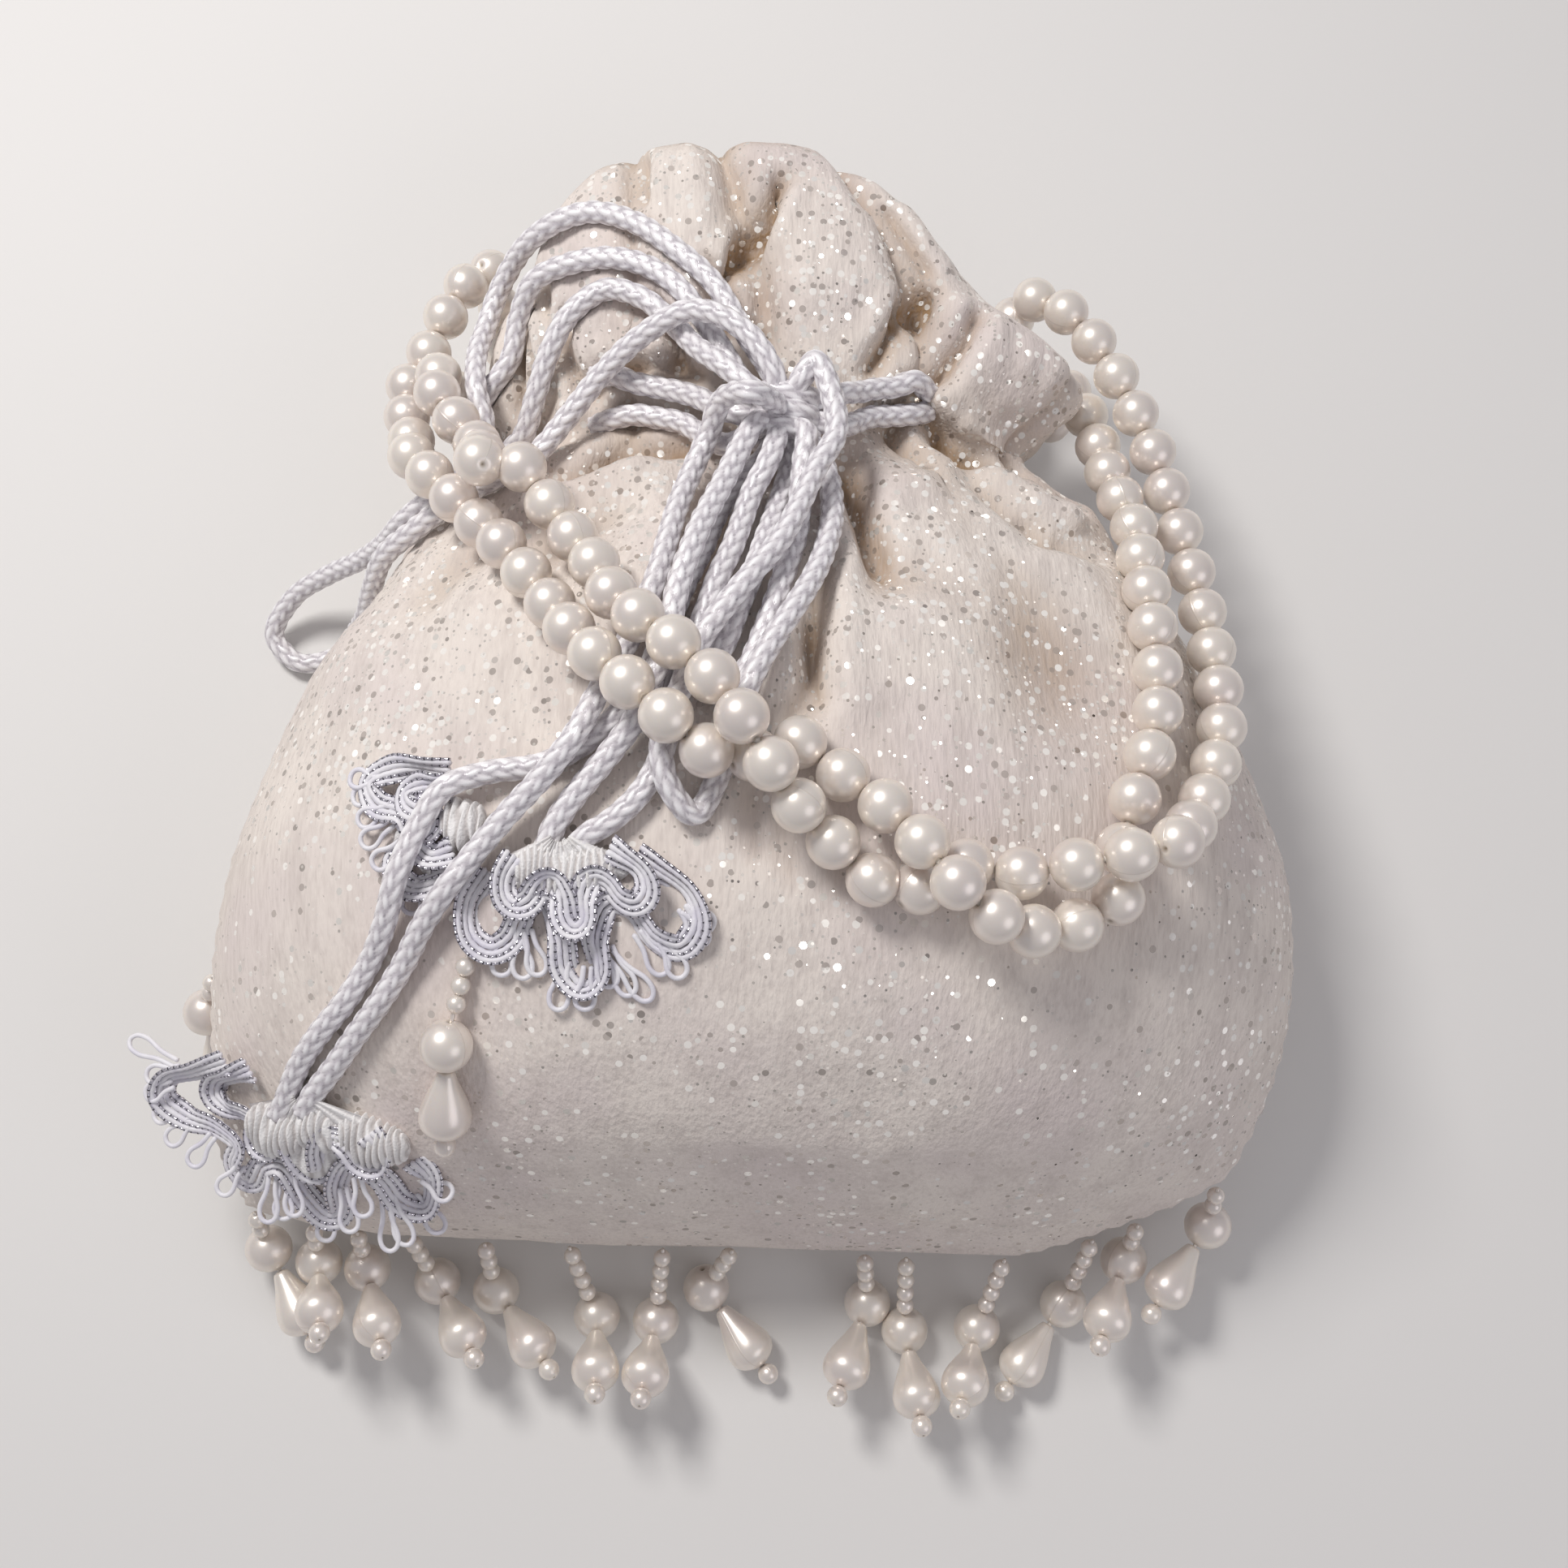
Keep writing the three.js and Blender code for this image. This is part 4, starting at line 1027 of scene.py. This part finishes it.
def seam_path():
    """The line of the seam, from the left side round the bottom to the right side."""
    left, right = np.moveaxis(cloth_points(np.array([math.pi, 0.0]), sections[:seam_rows]), 1, 0)
    bottom = np.array([sections[0][1], seam_y, seam_height])
    return smooth_path([*left[::-1], bottom, *right], 0.05)


def grid_normals(grid):
    along = np.gradient(grid, axis=0)
    around = np.roll(grid, -1, axis=1) - np.roll(grid, 1, axis=1)
    return unit(np.cross(along, around))


def line_distance(points, line):
    """How far points across the table are from a line, and how far along it the nearest place is."""
    line = np.array(line, float)
    start = travelled_along(line)
    best = np.full(len(points), 1e9)
    place_along = np.zeros(len(points))
    for index in range(len(line) - 1):
        step = line[index + 1] - line[index]
        share = np.clip(((points - line[index]) @ step) / (step @ step), 0, 1)
        away = np.linalg.norm(points - (line[index] + share[:, None] * step), axis=1)
        nearer = away < best
        best[nearer] = away[nearer]
        here = start[index] + share * (start[index + 1] - start[index])
        place_along[nearer] = here[nearer] / start[-1]
    return best, place_along


shoulder_place = 2.3
shoulder_width = 1.3
shoulder_share = 0.3


def crease_depth(points):
    """How deep the creases press each point. A soft shoulder stands up on both sides of a crease."""
    depth = np.zeros(len(points))
    for line, half_width, deepest, fade in creases:
        away, along = line_distance(points[:, :2], line)
        fading = np.clip(np.minimum(along, 1 - along) / fade, 0, 1)
        fading = fading * fading * (3 - 2 * fading)
        near = np.exp(-(away / half_width) ** 2)
        beside = away - shoulder_place * half_width
        shoulder = np.exp(-(beside / (shoulder_width * half_width)) ** 2)
        depth += deepest * fading * (near - shoulder_share * shoulder * (deepest > 0))
    return depth


fine = through_rows(sections, cloth_steps)
angle = round_angles(cloth_sides)
cloth = cloth_points(angle, fine)
rows = len(fine)
outside = np.clip(fine[:, 8], 0, 1)[:, None]

# The back lies on the table: the cloth flattens softly where it would hang below it
flattening = 1.6
cloth[:, :, 2] = 0.5 * (cloth[:, :, 2] + np.sqrt(cloth[:, :, 2] ** 2 + flattening ** 2))

# The filling presses the cloth out between its seam and its neck
trial_every = 3
trial_frames = 16
filling_pressure = 20.0
cloth_stiffness = 5.0
furthest_swell = 2.0
held_from_neck = 8
belly_margin = 25
still_at_seam = 0.25
still_at_neck = 4
free_below_neck = 14
still_at_bottom = 1
free_above_bottom = 16


def cloth_trial(points, faces, held_points):
    """Where the points of a closed cloth come to when it is filled while some of them are held."""
    mesh = bpy.data.meshes.new("filling_trial")
    mesh.from_pydata((points * MM).tolist(), [], faces)
    trial = in_scene("filling_trial", mesh)
    trial.vertex_groups.new(name="held").add(held_points, 1.0, "ADD")
    settings = trial.modifiers.new("filling", "CLOTH").settings
    settings.quality = 6
    settings.mass = 0.3
    settings.tension_stiffness = cloth_stiffness
    settings.compression_stiffness = cloth_stiffness
    settings.vertex_group_mass = "held"
    settings.use_pressure = True
    settings.uniform_pressure_force = filling_pressure
    settings.effector_weights.gravity = 0
    for frame_number in range(1, trial_frames + 1):
        bpy.context.scene.frame_set(frame_number)
    result = trial.evaluated_get(bpy.context.evaluated_depsgraph_get()).data
    reached = np.zeros(len(result.vertices) * 3)
    result.vertices.foreach_get("co", reached)
    bpy.data.objects.remove(trial)
    bpy.data.meshes.remove(mesh)
    bpy.context.scene.frame_set(1)
    return reached.reshape(-1, 3) / MM


def after_filling(grid):
    """How far each point of the grid moves when the pouch is filled, by a cloth trial on a coarser copy."""
    picked_rows = np.unique(np.append(np.arange(0, rows, trial_every), rows - 1))
    picked_sides = np.arange(0, cloth_sides, trial_every)
    coarse = grid[np.ix_(picked_rows, picked_sides)]
    points = np.vstack([coarse.reshape(-1, 3), coarse[0].mean(0), coarse[-1].mean(0)])
    faces = [face[::-1] for face in ring_faces(len(picked_rows), len(picked_sides))]
    gathered_rows = np.repeat(fine[picked_rows, 0] > neck_y - held_from_neck, len(picked_sides))
    held = np.where(np.append(gathered_rows, [False, True]))[0]
    moved = (cloth_trial(points, faces, held.tolist()) - points)[:-2].reshape(coarse.shape)
    closed = np.concatenate([moved, moved[:, :1]], axis=1).transpose(1, 0, 2)
    finer = filled_in(closed, np.append(picked_sides, cloth_sides), np.arange(cloth_sides))
    return filled_in(finer.transpose(1, 0, 2), picked_rows, np.arange(rows))


from_side = np.minimum(np.abs((angle + math.pi) % (2 * math.pi) - math.pi), np.abs(angle - math.pi))
facing = grid_normals(cloth)
swell = after_filling(cloth)
belly = (fine[:, 0] > seam_y + belly_margin) & (fine[:, 0] < neck_y - belly_margin)
swell -= facing * np.median((swell * facing).sum(2)[belly])
reach = np.linalg.norm(swell, axis=2, keepdims=True)
swell *= np.minimum(1, furthest_swell / np.maximum(reach, 1e-6))
free_of_seam = 1 - np.exp(-(from_side / still_at_seam) ** 2)[None, :]
free_of_neck = np.clip((neck_y - still_at_neck - fine[:, 0]) / free_below_neck, 0, 1)[:, None]
free_of_bottom = np.clip((fine[:, 0] - seam_y - still_at_bottom) / free_above_bottom, 0, 1)[:, None]
cloth += swell * (free_of_seam * free_of_neck * free_of_bottom)[:, :, None]

# Creases of the front
normals = grid_normals(cloth)
facing_up = np.clip(normals[:, :, 2] * 3, 0, 1) * (cloth[:, :, 2] > seam_height)
on_front = (facing_up * outside).ravel()
depth = (crease_depth(cloth.reshape(-1, 3)) * on_front).reshape(rows, cloth_sides)
cloth -= normals * depth[:, :, None]

# The seam between both panels: a fine groove with small puckers
seam_end = 6
groove_depth = 0.9
groove_width = 0.035
pucker_depth = 0.3
pucker_width = 0.12
pucker_rate = 1.35
below_neck = (fine[:, 0] < neck_y - seam_end)[:, None]
travel = np.cumsum(np.linalg.norm(np.diff(cloth[:, 0], axis=0, prepend=cloth[:1, 0]), axis=1))
groove = np.exp(-(from_side / groove_width) ** 2)[None, :]
pucker = np.exp(-(from_side / pucker_width) ** 2)[None, :] * np.sin(travel * pucker_rate)[:, None]
cloth -= normals * ((groove_depth * groove + pucker_depth * pucker) * below_neck)[:, :, None]


def noise_at(points, lengths, shift=(0, 0, 0)):
    """Soft noise at each point, with lumps of these lengths along x, y and z."""
    return np.array([noise.noise(Vector(point)) for point in (points / lengths + shift).tolist()])


# Soft lumps of the padding, and small wrinkles that grow toward the neck
lump_length = 17
lump_height = 0.7
wrinkle_lengths = np.array([3.2, 9, 3.2])
wrinkle_height = 0.12
neck_wrinkle_height = 0.75
neck_wrinkle_reach = 26
least_above_table = 0.02
flat = cloth.reshape(-1, 3)
near_neck = np.exp(-((flat[:, 1] - neck_y) / neck_wrinkle_reach) ** 2)
relief = noise_at(flat, wrinkle_lengths) * (wrinkle_height + neck_wrinkle_height * near_neck)
relief += lump_height * noise_at(flat, lump_length)
cloth += grid_normals(cloth) * relief.reshape(rows, cloth_sides)[:, :, None]
cloth[:, :, 2] = np.maximum(cloth[:, :, 2], least_above_table)

# The cloth gives way under the cords and the pearls that lie on it
press_every = 4
cord_clearance = 0.12
pearl_clearance = 0.1
downward_push = 0.35
pressing = [(path[::press_every], cord_diameter / 2 + cord_clearance) for path in paths.values()]
pressing += [(np.array(centres), pearl_diameter / 2 + pearl_clearance) for centres in strand_beads.values()]
flat = cloth.reshape(-1, 3).copy()
for centres, reach in pressing:
    tree = KDTree(len(centres))
    for index, centre in enumerate(centres):
        tree.insert(centre, index)
    tree.balance()
    low, high = centres.min(0) - reach, centres.max(0) + reach
    for index in np.where(((flat > low) & (flat < high)).all(1))[0]:
        nearest, _, away = tree.find(flat[index])
        if away < reach:
            push = unit(flat[index] - np.array(nearest) + np.array([0, 0, -downward_push * reach]))
            flat[index] = np.array(nearest) + push * reach
cloth = flat.reshape(rows, cloth_sides, 3)
cloth[:, :, 2] = np.maximum(cloth[:, :, 2], least_above_table)

# How much shade is painted into the cloth in the creases, in the gathers, in the mouth and round the neck,
# and its glitter
crease_shade = 0.8
darkest_crease = 4
darkest_gather = 9
mouth_shade = 0.45
neck_shade = 0.25
neck_shade_reach = 9
glitter_patch = 24
glitter_patch_shift = (3, 8, 5)
start_point = cloth[0].mean(0)
end_point = np.array([fine[-1, 1], neck_y + frill_length * funnel_end, neck_height])
frill_depth = fold_depth(np.degrees(angle)[None, :], fine[:, 7][:, None])
deep = crease_shade * np.clip(depth / darkest_crease, 0, 1) + mouth_shade * (1 - outside)
deep += np.clip(frill_depth / darkest_gather, 0, mouth_shade)
deep += neck_shade * np.exp(-((fine[:, 0] - neck_y) / neck_shade_reach) ** 2)[:, None]
upper = np.clip((cloth[:, :, 1] + 30) / 60, 0, 1)
patchy = noise_at(cloth.reshape(-1, 3), glitter_patch, glitter_patch_shift).reshape(rows, cloth_sides)
glitter = 0.28 + 0.4 * upper + 0.6 * np.clip(patchy, -0.6, 1)
pouch_points = np.vstack([cloth.reshape(-1, 3), start_point, end_point])
pouch_faces = [face[::-1] for face in ring_faces(rows, cloth_sides)]
pouch_shape = Shape()
pouch_shape.add(
    pouch_points, pouch_faces, depth=np.append(np.clip(deep, 0, 1), [0.3, 0.8]),
    glitter=np.append(np.clip(glitter, 0.12, 0.95), [0.2, 0.1]),
)
pouch = pouch_shape.piece("velvet_pouch", velvet, replaced=["pouch"], slot="velvet")
surface = BVHTree.FromPolygons([Vector(point) for point in pouch_points.tolist()], pouch_faces)


def on_cloth(x, y, lift):
    """The point above the cloth at this place across the table."""
    hit = surface.ray_cast(Vector((x, y, 200)), Vector((0, 0, -1)))[0]
    return np.array([x, y, (hit.z if hit else 0) + lift])


# Pearl drops
string_step = 0.8
string_radius = 0.35 * thread_diameter
string_shade = 0.15


def drop_piece(name, node, body, root, pearl_place, toward, seeds):
    upper_way = unit(pearl_place - root)
    lower_way = unit(toward)
    middle_way = unit(upper_way + lower_way)
    shape = Shape()
    radius = pearl_diameter / 2
    for seed in range(seeds):
        centre = root + upper_way * (first_seed + seed * seed_pitch)
        add_bead(shape, centre, upper_way, seed_diameter / 2, 14, 9)
    add_bead(shape, pearl_place, middle_way, radius, 28, 17)
    tip = pearl_place + lower_way * (radius + pearl_gap)
    outline = through_rows(teardrop_profile, 2)
    outline = np.column_stack([outline[:, 0] * teardrop_length, outline[:, 1] * radius])
    add_bead(shape, tip, lower_way, radius, 28, profile=outline)
    end = tip + lower_way * (teardrop_length + stopper_diameter / 2)
    add_bead(shape, end, lower_way, stopper_diameter / 2, 16, 11)
    string = smooth_path([
        root, root + upper_way, pearl_place - upper_way * radius * 0.5, pearl_place + lower_way * radius,
        tip + lower_way * 2, end,
    ], string_step)
    shape.add(*swept(string, string_radius, 8, 0.5), round=1.0, hole=string_shade)
    return shape.piece(name, pearl, body=body, replaced=[node], slot="pearl")


seam = seam_path()
seam_travel = travelled_along(seam)
for letter, share, seeds, heading, teardrop_heading, teardrop_rise in fringe:
    index = int(np.searchsorted(seam_travel, share * seam_travel[-1]))
    tangent = unit(seam[index + 1] - seam[index - 1])
    outward = unit(np.array([tangent[1], -tangent[0], 0]))
    root = seam[index] + outward * stitch_gap
    hang = first_seed + (seeds - 1) * seed_pitch + seed_diameter / 2 + pearl_gap + pearl_diameter / 2
    fall = min(root[2] - resting_height, hang * steepest_fall)
    level = math.sqrt(hang * hang - fall * fall)
    turn = math.radians(heading)
    pearl_place = root + np.array([math.sin(turn) * level, -math.cos(turn) * level, -fall])
    tear_turn, rise = math.radians(teardrop_heading), math.radians(teardrop_rise)
    across = math.cos(rise)
    toward = np.array([math.sin(tear_turn) * across, -math.cos(tear_turn) * across, math.sin(rise)])
    drop_piece(
        "pearl_drop_" + letter, "fringe_drop_" + letter, "drop_" + letter, root, pearl_place, toward, seeds,
    )
root, pearl_place, tear_place = [np.array(point, float) for point in rosette_drop_points]
drop_piece(
    "rosette_pearl_drop", "rosette_drop", "drop_rosette", root, pearl_place, tear_place - pearl_place,
    rosette_drop_seeds,
)

# Rosettes
lane_offsets = [-1.62, -0.54, 0.54, 1.62]
lane_radius = 0.5
metal_offsets = [-2.12, -1.08, 1.08, 2.12]
metal_radius = 0.24
band_step = 0.45
band_lean = 0.75
band_waves = 5
band_half_width = 1.8
lane_step = 0.5
metal_lift = 0.42
metal_step = 0.4
metal_sides = 6
picot_radius = 0.4
picot_step = 0.4
picot_width = 2.9
picot_lift = 0.6
picot_droop = 0.3
# A picot's outline: how far out, and how far aside as a share of its width
picot_outline = [
    (0, -0.2), (0.35, -0.24), (0.72, -0.5), (0.93, -0.36), (1.0, 0), (0.93, 0.36), (0.72, 0.5), (0.35, 0.24),
    (0, 0.2),
]


def band_lane(path, across, offset, lift):
    """A line beside a path, drawn in where the path bends more sharply than the line can follow."""
    step = np.gradient(path, axis=0)
    bend = np.gradient(unit(step), axis=0) / np.maximum(np.linalg.norm(step, axis=1, keepdims=True), 1e-6)
    toward = (bend * across).sum(1)
    inner = toward * np.sign(offset) > 0
    room = np.where(inner, 0.82 / np.maximum(np.abs(toward), 1e-6), 1e6)
    reach = np.sign(offset) * np.minimum(abs(offset), room)
    lane = path + across * reach[:, None]
    lane[:, 2] += lift
    for _ in range(3):
        lane[1:-1] = (lane[:-2] + 2 * lane[1:-1] + lane[2:]) / 4
    return lane


def gimp_band(shape, metal, route):
    """A flat braid of cords and metal threads that leans out and in as it winds along its route."""
    path = smooth_path(route, band_step)
    along = unit(np.gradient(path, axis=0))
    level = unit(np.cross(along, np.array([0, -0.35, 1.0])))
    upward = np.cross(level, along)
    lean = band_lean * np.sin(np.linspace(0, band_waves * math.pi, len(path)))[:, None]
    across = unit(level * np.cos(lean) + upward * np.sin(lean))
    for index, offset in enumerate(lane_offsets):
        lane = even_path(band_lane(path, across, offset, 0.2 * (index % 2)), lane_step)
        ripple = 1 + 0.08 * np.sin(np.arange(len(lane)) * 2.1)
        shape.add(*swept(lane, lane_radius * ripple, 10, 0.6), depth=0.05)
    for offset in metal_offsets:
        lane = even_path(band_lane(path, across, offset, metal_lift), metal_step)
        travel = np.repeat(np.arange(len(lane)) * metal_step, metal_sides)
        metal.add(*swept(lane, metal_radius, metal_sides, 0.5), travel=np.append(travel, [0, 0]))
    return path


def picot(shape, band_path, tip, heading, length):
    """A loop of thread that stands out from the band: out, round its end and back.

    It leaves the band at the band's height and droops a little, or lies on the cloth where that is higher."""
    turn = math.radians(heading)
    aimed_base = np.array(tip) - np.array([math.sin(turn), -math.cos(turn)]) * length
    nearest = band_path[np.argmin(np.linalg.norm(band_path[:, :2] - aimed_base, axis=1))]
    aside = aimed_base - nearest[:2]
    base = nearest[:2] + aside * min(1, band_half_width / max(np.linalg.norm(aside), 1e-6))
    out = np.array(tip) - base
    length = np.linalg.norm(out)
    out = out / length
    side = np.array([out[1], -out[0]])
    line = []
    for out_share, side_share in picot_outline:
        x, y = base + out * length * out_share + side * picot_width * side_share
        point = on_cloth(x, y, picot_lift)
        point[2] = max(point[2], nearest[2] - picot_droop * length * out_share)
        line.append(point)
    shape.add(*swept(smooth_path(line, picot_step), picot_radius, 8, 0.5), depth=0.0)


# Picots: the place of each tip across the table, its heading from straight down toward the right, its length
picots = {
    "rosette_near_trim": [
        (-102, -33, -72, 8), (-98.5, -39, -80, 6), (-98.5, -42, -70, 5), (-98, -45.5, -65, 6),
        (-95.5, -49.5, -50, 6), (-91, -53, -40, 6), (-86.5, -57.5, -40, 6), (-78, -62, -10, 7),
        (-75.5, -61.5, 0, 6), (-73.5, -61, 5, 7), (-70.5, -65, -15, 6), (-64.5, -63.5, 10, 7),
        (-61.5, -61, 10, 6), (-58.2, -66.5, 5, 8), (-55.4, -65.5, 20, 8), (-50.5, -63.5, 30, 7.5),
        (-48, -58, 55, 5),
    ],
    "rosette_far_trim": [
        (-37, -26, 0, 6), (-33.7, -26.5, 5, 7), (-31.3, -26, 15, 6.5), (-28.8, -31, -10, 7),
        (-24.8, -31, 0, 6), (-20.6, -27.8, 20, 7), (-17.8, -29, 25, 7.5), (-14.9, -29.6, 28, 8),
        (-12.8, -26, 35, 7), (-10.3, -26.5, 30, 6), (-7, -22, 45, 6.5), (-5.8, -19.5, 60, 5),
    ],
    "rosette_far_side_trim": [
        (-61.5, 4.5, -100, 5), (-61, 1.5, -85, 5), (-59.8, -2.5, -70, 5.5), (-59, -6, -60, 5.5),
        (-57, -9.4, -55, 5.5), (-55, -14, -45, 5.5), (-51.5, -16.5, -25, 5),
    ],
}
# The second band of each rosette: the middle that it is drawn in toward, and its share of the way out
inner_bands = {
    "rosette_near_trim": [(-71, -41), 0.66], "rosette_far_trim": [(-27, -7), 0.62],
    "rosette_far_side_trim": [(-43, -2.5), 0.6],
}


inner_lift = 3.0
inner_above_outer = 0.5


def inner_route(route, middle, share):
    """The same route drawn in toward the middle of its rosette, a little higher on the cloth."""
    drawn_in = []
    for x, y, z in route:
        near_x, near_y = np.array(middle) + (np.array([x, y]) - middle) * share
        point = on_cloth(near_x, near_y, inner_lift)
        point[2] = max(point[2], z + inner_above_outer)
        drawn_in.append(list(point))
    return drawn_in


for name, route in trim_routes.items():
    band, metal = Shape(), Shape()
    outer_path = gimp_band(band, metal, route)
    gimp_band(band, metal, inner_route(route, *inner_bands[name]))
    for x, y, heading, length in picots[name]:
        picot(band, outer_path, (x, y), heading, length)
    band.piece(name + "_gimp", gimp, replaced=[name], slot="silver_braid")
    metal.piece(name + "_silver", silver, slot="silver_braid")


# The gathered cups: how far their cloth stands off the form inside, and how it is ribbed and puffed
cup_cover = [1.0, 1.1, 0.7]
cup_squareness = 3.2
rib_rate = 6.6
rib_height = 0.13
puff_height = 0.12


def gathered_patch(name, centre, half, tilt):
    """A strip of cloth gathered into uneven ribs, puffed over the form that it hides."""
    columns, lines = 170, 36
    u = np.linspace(-1, 1, columns)[:, None] * np.ones((1, lines))
    v = round_angles(lines)[None, :] * np.ones((columns, 1))
    squeeze = np.sqrt(np.clip(1 - np.abs(u) ** cup_squareness, 0.02, 1))
    seed = centre[0] * 0.37
    waver = 1.3 * np.sin(v * 1.5 + seed) + 1.5 * np.sin(u * 4.1 + seed) + 0.9 * np.sin(v * 3 + u * 9)
    ribs = np.sin(u * half[0] * rib_rate + waver)
    swell = 1 + squeeze * (rib_height * ribs + puff_height * np.sin(u * 4 + v * 2 + seed))
    x = u * (half[0] + cup_cover[0])
    y = np.cos(v) * (half[1] + cup_cover[1]) * squeeze * swell
    z = np.sin(v) * (cup_half_thickness + cup_cover[2]) * squeeze * swell
    lean_x, lean_y = math.radians(tilt[0]), math.radians(tilt[1])
    x, z = x * math.cos(lean_y) + z * math.sin(lean_y), -x * math.sin(lean_y) + z * math.cos(lean_y)
    y, z = y * math.cos(lean_x) - z * math.sin(lean_x), y * math.sin(lean_x) + z * math.cos(lean_x)
    grid = np.stack([x, y, z], axis=-1) + np.array(centre, float)
    shape = Shape()
    ends = np.array([grid[0].mean(0), grid[-1].mean(0)])
    # Painted shade darkens the troughs of the ribs
    shape.add(
        np.vstack([grid.reshape(-1, 3), ends]), ring_faces(columns, lines),
        depth=np.append(np.clip(-ribs * 0.7, 0, 1), [0.3, 0.3]),
    )
    shape.piece(name + "_cloth", gathered, replaced=[name], slot="gathered_cloth")


# Pleated fans: middle, first and last heading from straight down toward the right, inner and outer
# radius, and how high the middle stands
ruffles = {
    "rosette_far_ruffle": [(-28, -6), (-72, 68), 1.5, 10.5, 3.2],
    "rosette_near_ruffle": [(-69.5, -42.5), (-84, 70), 1.5, 11.5, 3.0],
    "rosette_far_side_ruffle": [(-46.5, -3), (-130, -10), 1.2, 7.5, 2.2],
}
ruffle_thickness = 0.3
ruffle_lift = 0.9
ruffle_fall = 0.75
pleat_rate = 31
pleat_height = 0.5


def ruffle(name, centre, headings, inner, outer, lift):
    """A fan of cloth pleated round the end of a tail, from its gathered middle out to the braid."""
    columns, lines = 260, 14
    turn = np.radians(np.linspace(headings[0], headings[1], columns))[:, None]
    out = np.linspace(0, 1, lines)[None, :]
    pleat = np.sin(turn * pleat_rate + 1.6 * np.sin(turn * 5 + centre[0]) + 0.6 * out)
    pleat = pleat * (0.75 + 0.25 * np.sin(turn * 9 + centre[1]))
    reach = inner + (outer - inner) * out * (1 + 0.12 * np.sin(turn * 7 + centre[1]))
    x = centre[0] + np.sin(turn) * reach
    y = centre[1] - np.cos(turn) * reach
    height = lift * (1 - out) ** 0.8 + ruffle_lift + (0.4 + 0.6 * out) * pleat_height * pleat
    top = np.zeros((columns, lines, 3))
    for column in range(columns):
        for line in range(lines):
            top[column, line] = on_cloth(x[column, line], y[column, line], height[column, line])
    top[:, :, 2] = np.maximum(top[:, :, 2], top[:, :1, 2] - ruffle_fall * (reach - inner) - 1)
    under = top - np.array([0, 0, ruffle_thickness])
    loop = np.concatenate([top, under[:, ::-1]], axis=1)
    ends = np.array([loop[0].mean(0), loop[-1].mean(0)])
    shape = Shape()
    # Painted shade darkens the troughs of the pleats, more toward the outer edge
    depth = np.clip(-pleat * 0.8, 0, 1) * (0.5 + 0.5 * out)
    shape.add(
        np.vstack([loop.reshape(-1, 3), ends]), ring_faces(columns, 2 * lines),
        depth=np.append(np.concatenate([depth, depth[:, ::-1]], axis=1), [0.3, 0.3]),
    )
    shape.piece(name, gathered, slot="gathered_cloth")


for name, (centre, half, tilt) in cups.items():
    gathered_patch(name, centre, half, tilt)
for name, fan in ruffles.items():
    ruffle(name, *fan)

# The whole path of each cord is looked up again; nothing more is done with it
for name in cord_routes:
    path = whole_paths[name]

# Floor and light
floor_reach = 1.5
corners = [(x * floor_reach, y * floor_reach, 0) for x, y in ((-1, -1), (1, -1), (1, 1), (-1, 1))]
floor_mesh = bpy.data.meshes.new("floor")
floor_mesh.from_pydata(corners, [], [(0, 1, 2, 3)])
floor = in_scene("floor", floor_mesh)
floor_mesh.materials.append(new_material("pale_floor", {
    "Base Color": colour(0.9, 0.895, 0.885), "Roughness": 0.9, "Specular IOR Level": 0.1,
})[0])


def area_light(name, place_at, target, size, power, tone):
    data = bpy.data.lights.new(name, "AREA")
    data.shape = "DISK"
    data.size = size
    data.energy = power
    data.color = tone
    lamp = in_scene(name, data)
    lamp.location = place_at
    lamp.rotation_euler = (Vector(target) - Vector(place_at)).to_track_quat("-Z", "Y").to_euler()


area_light("key_light", (-0.26, 0.3, 0.58), (0, 0.01, 0.03), 0.2, 3.0, (1.0, 0.975, 0.955))
area_light("fill_light", (0.5, -0.35, 0.45), (0, 0, 0.03), 0.5, 0.6, (0.97, 0.95, 1.0))
world = bpy.data.worlds.new("room")
world.use_nodes = True
room_light = world.node_tree.nodes["Background"].inputs
room_light["Color"].default_value = (0.97, 0.95, 1.0, 1)
room_light["Strength"].default_value = 0.36
bpy.context.scene.world = world
bpy.context.scene.view_settings.view_transform = "Standard"
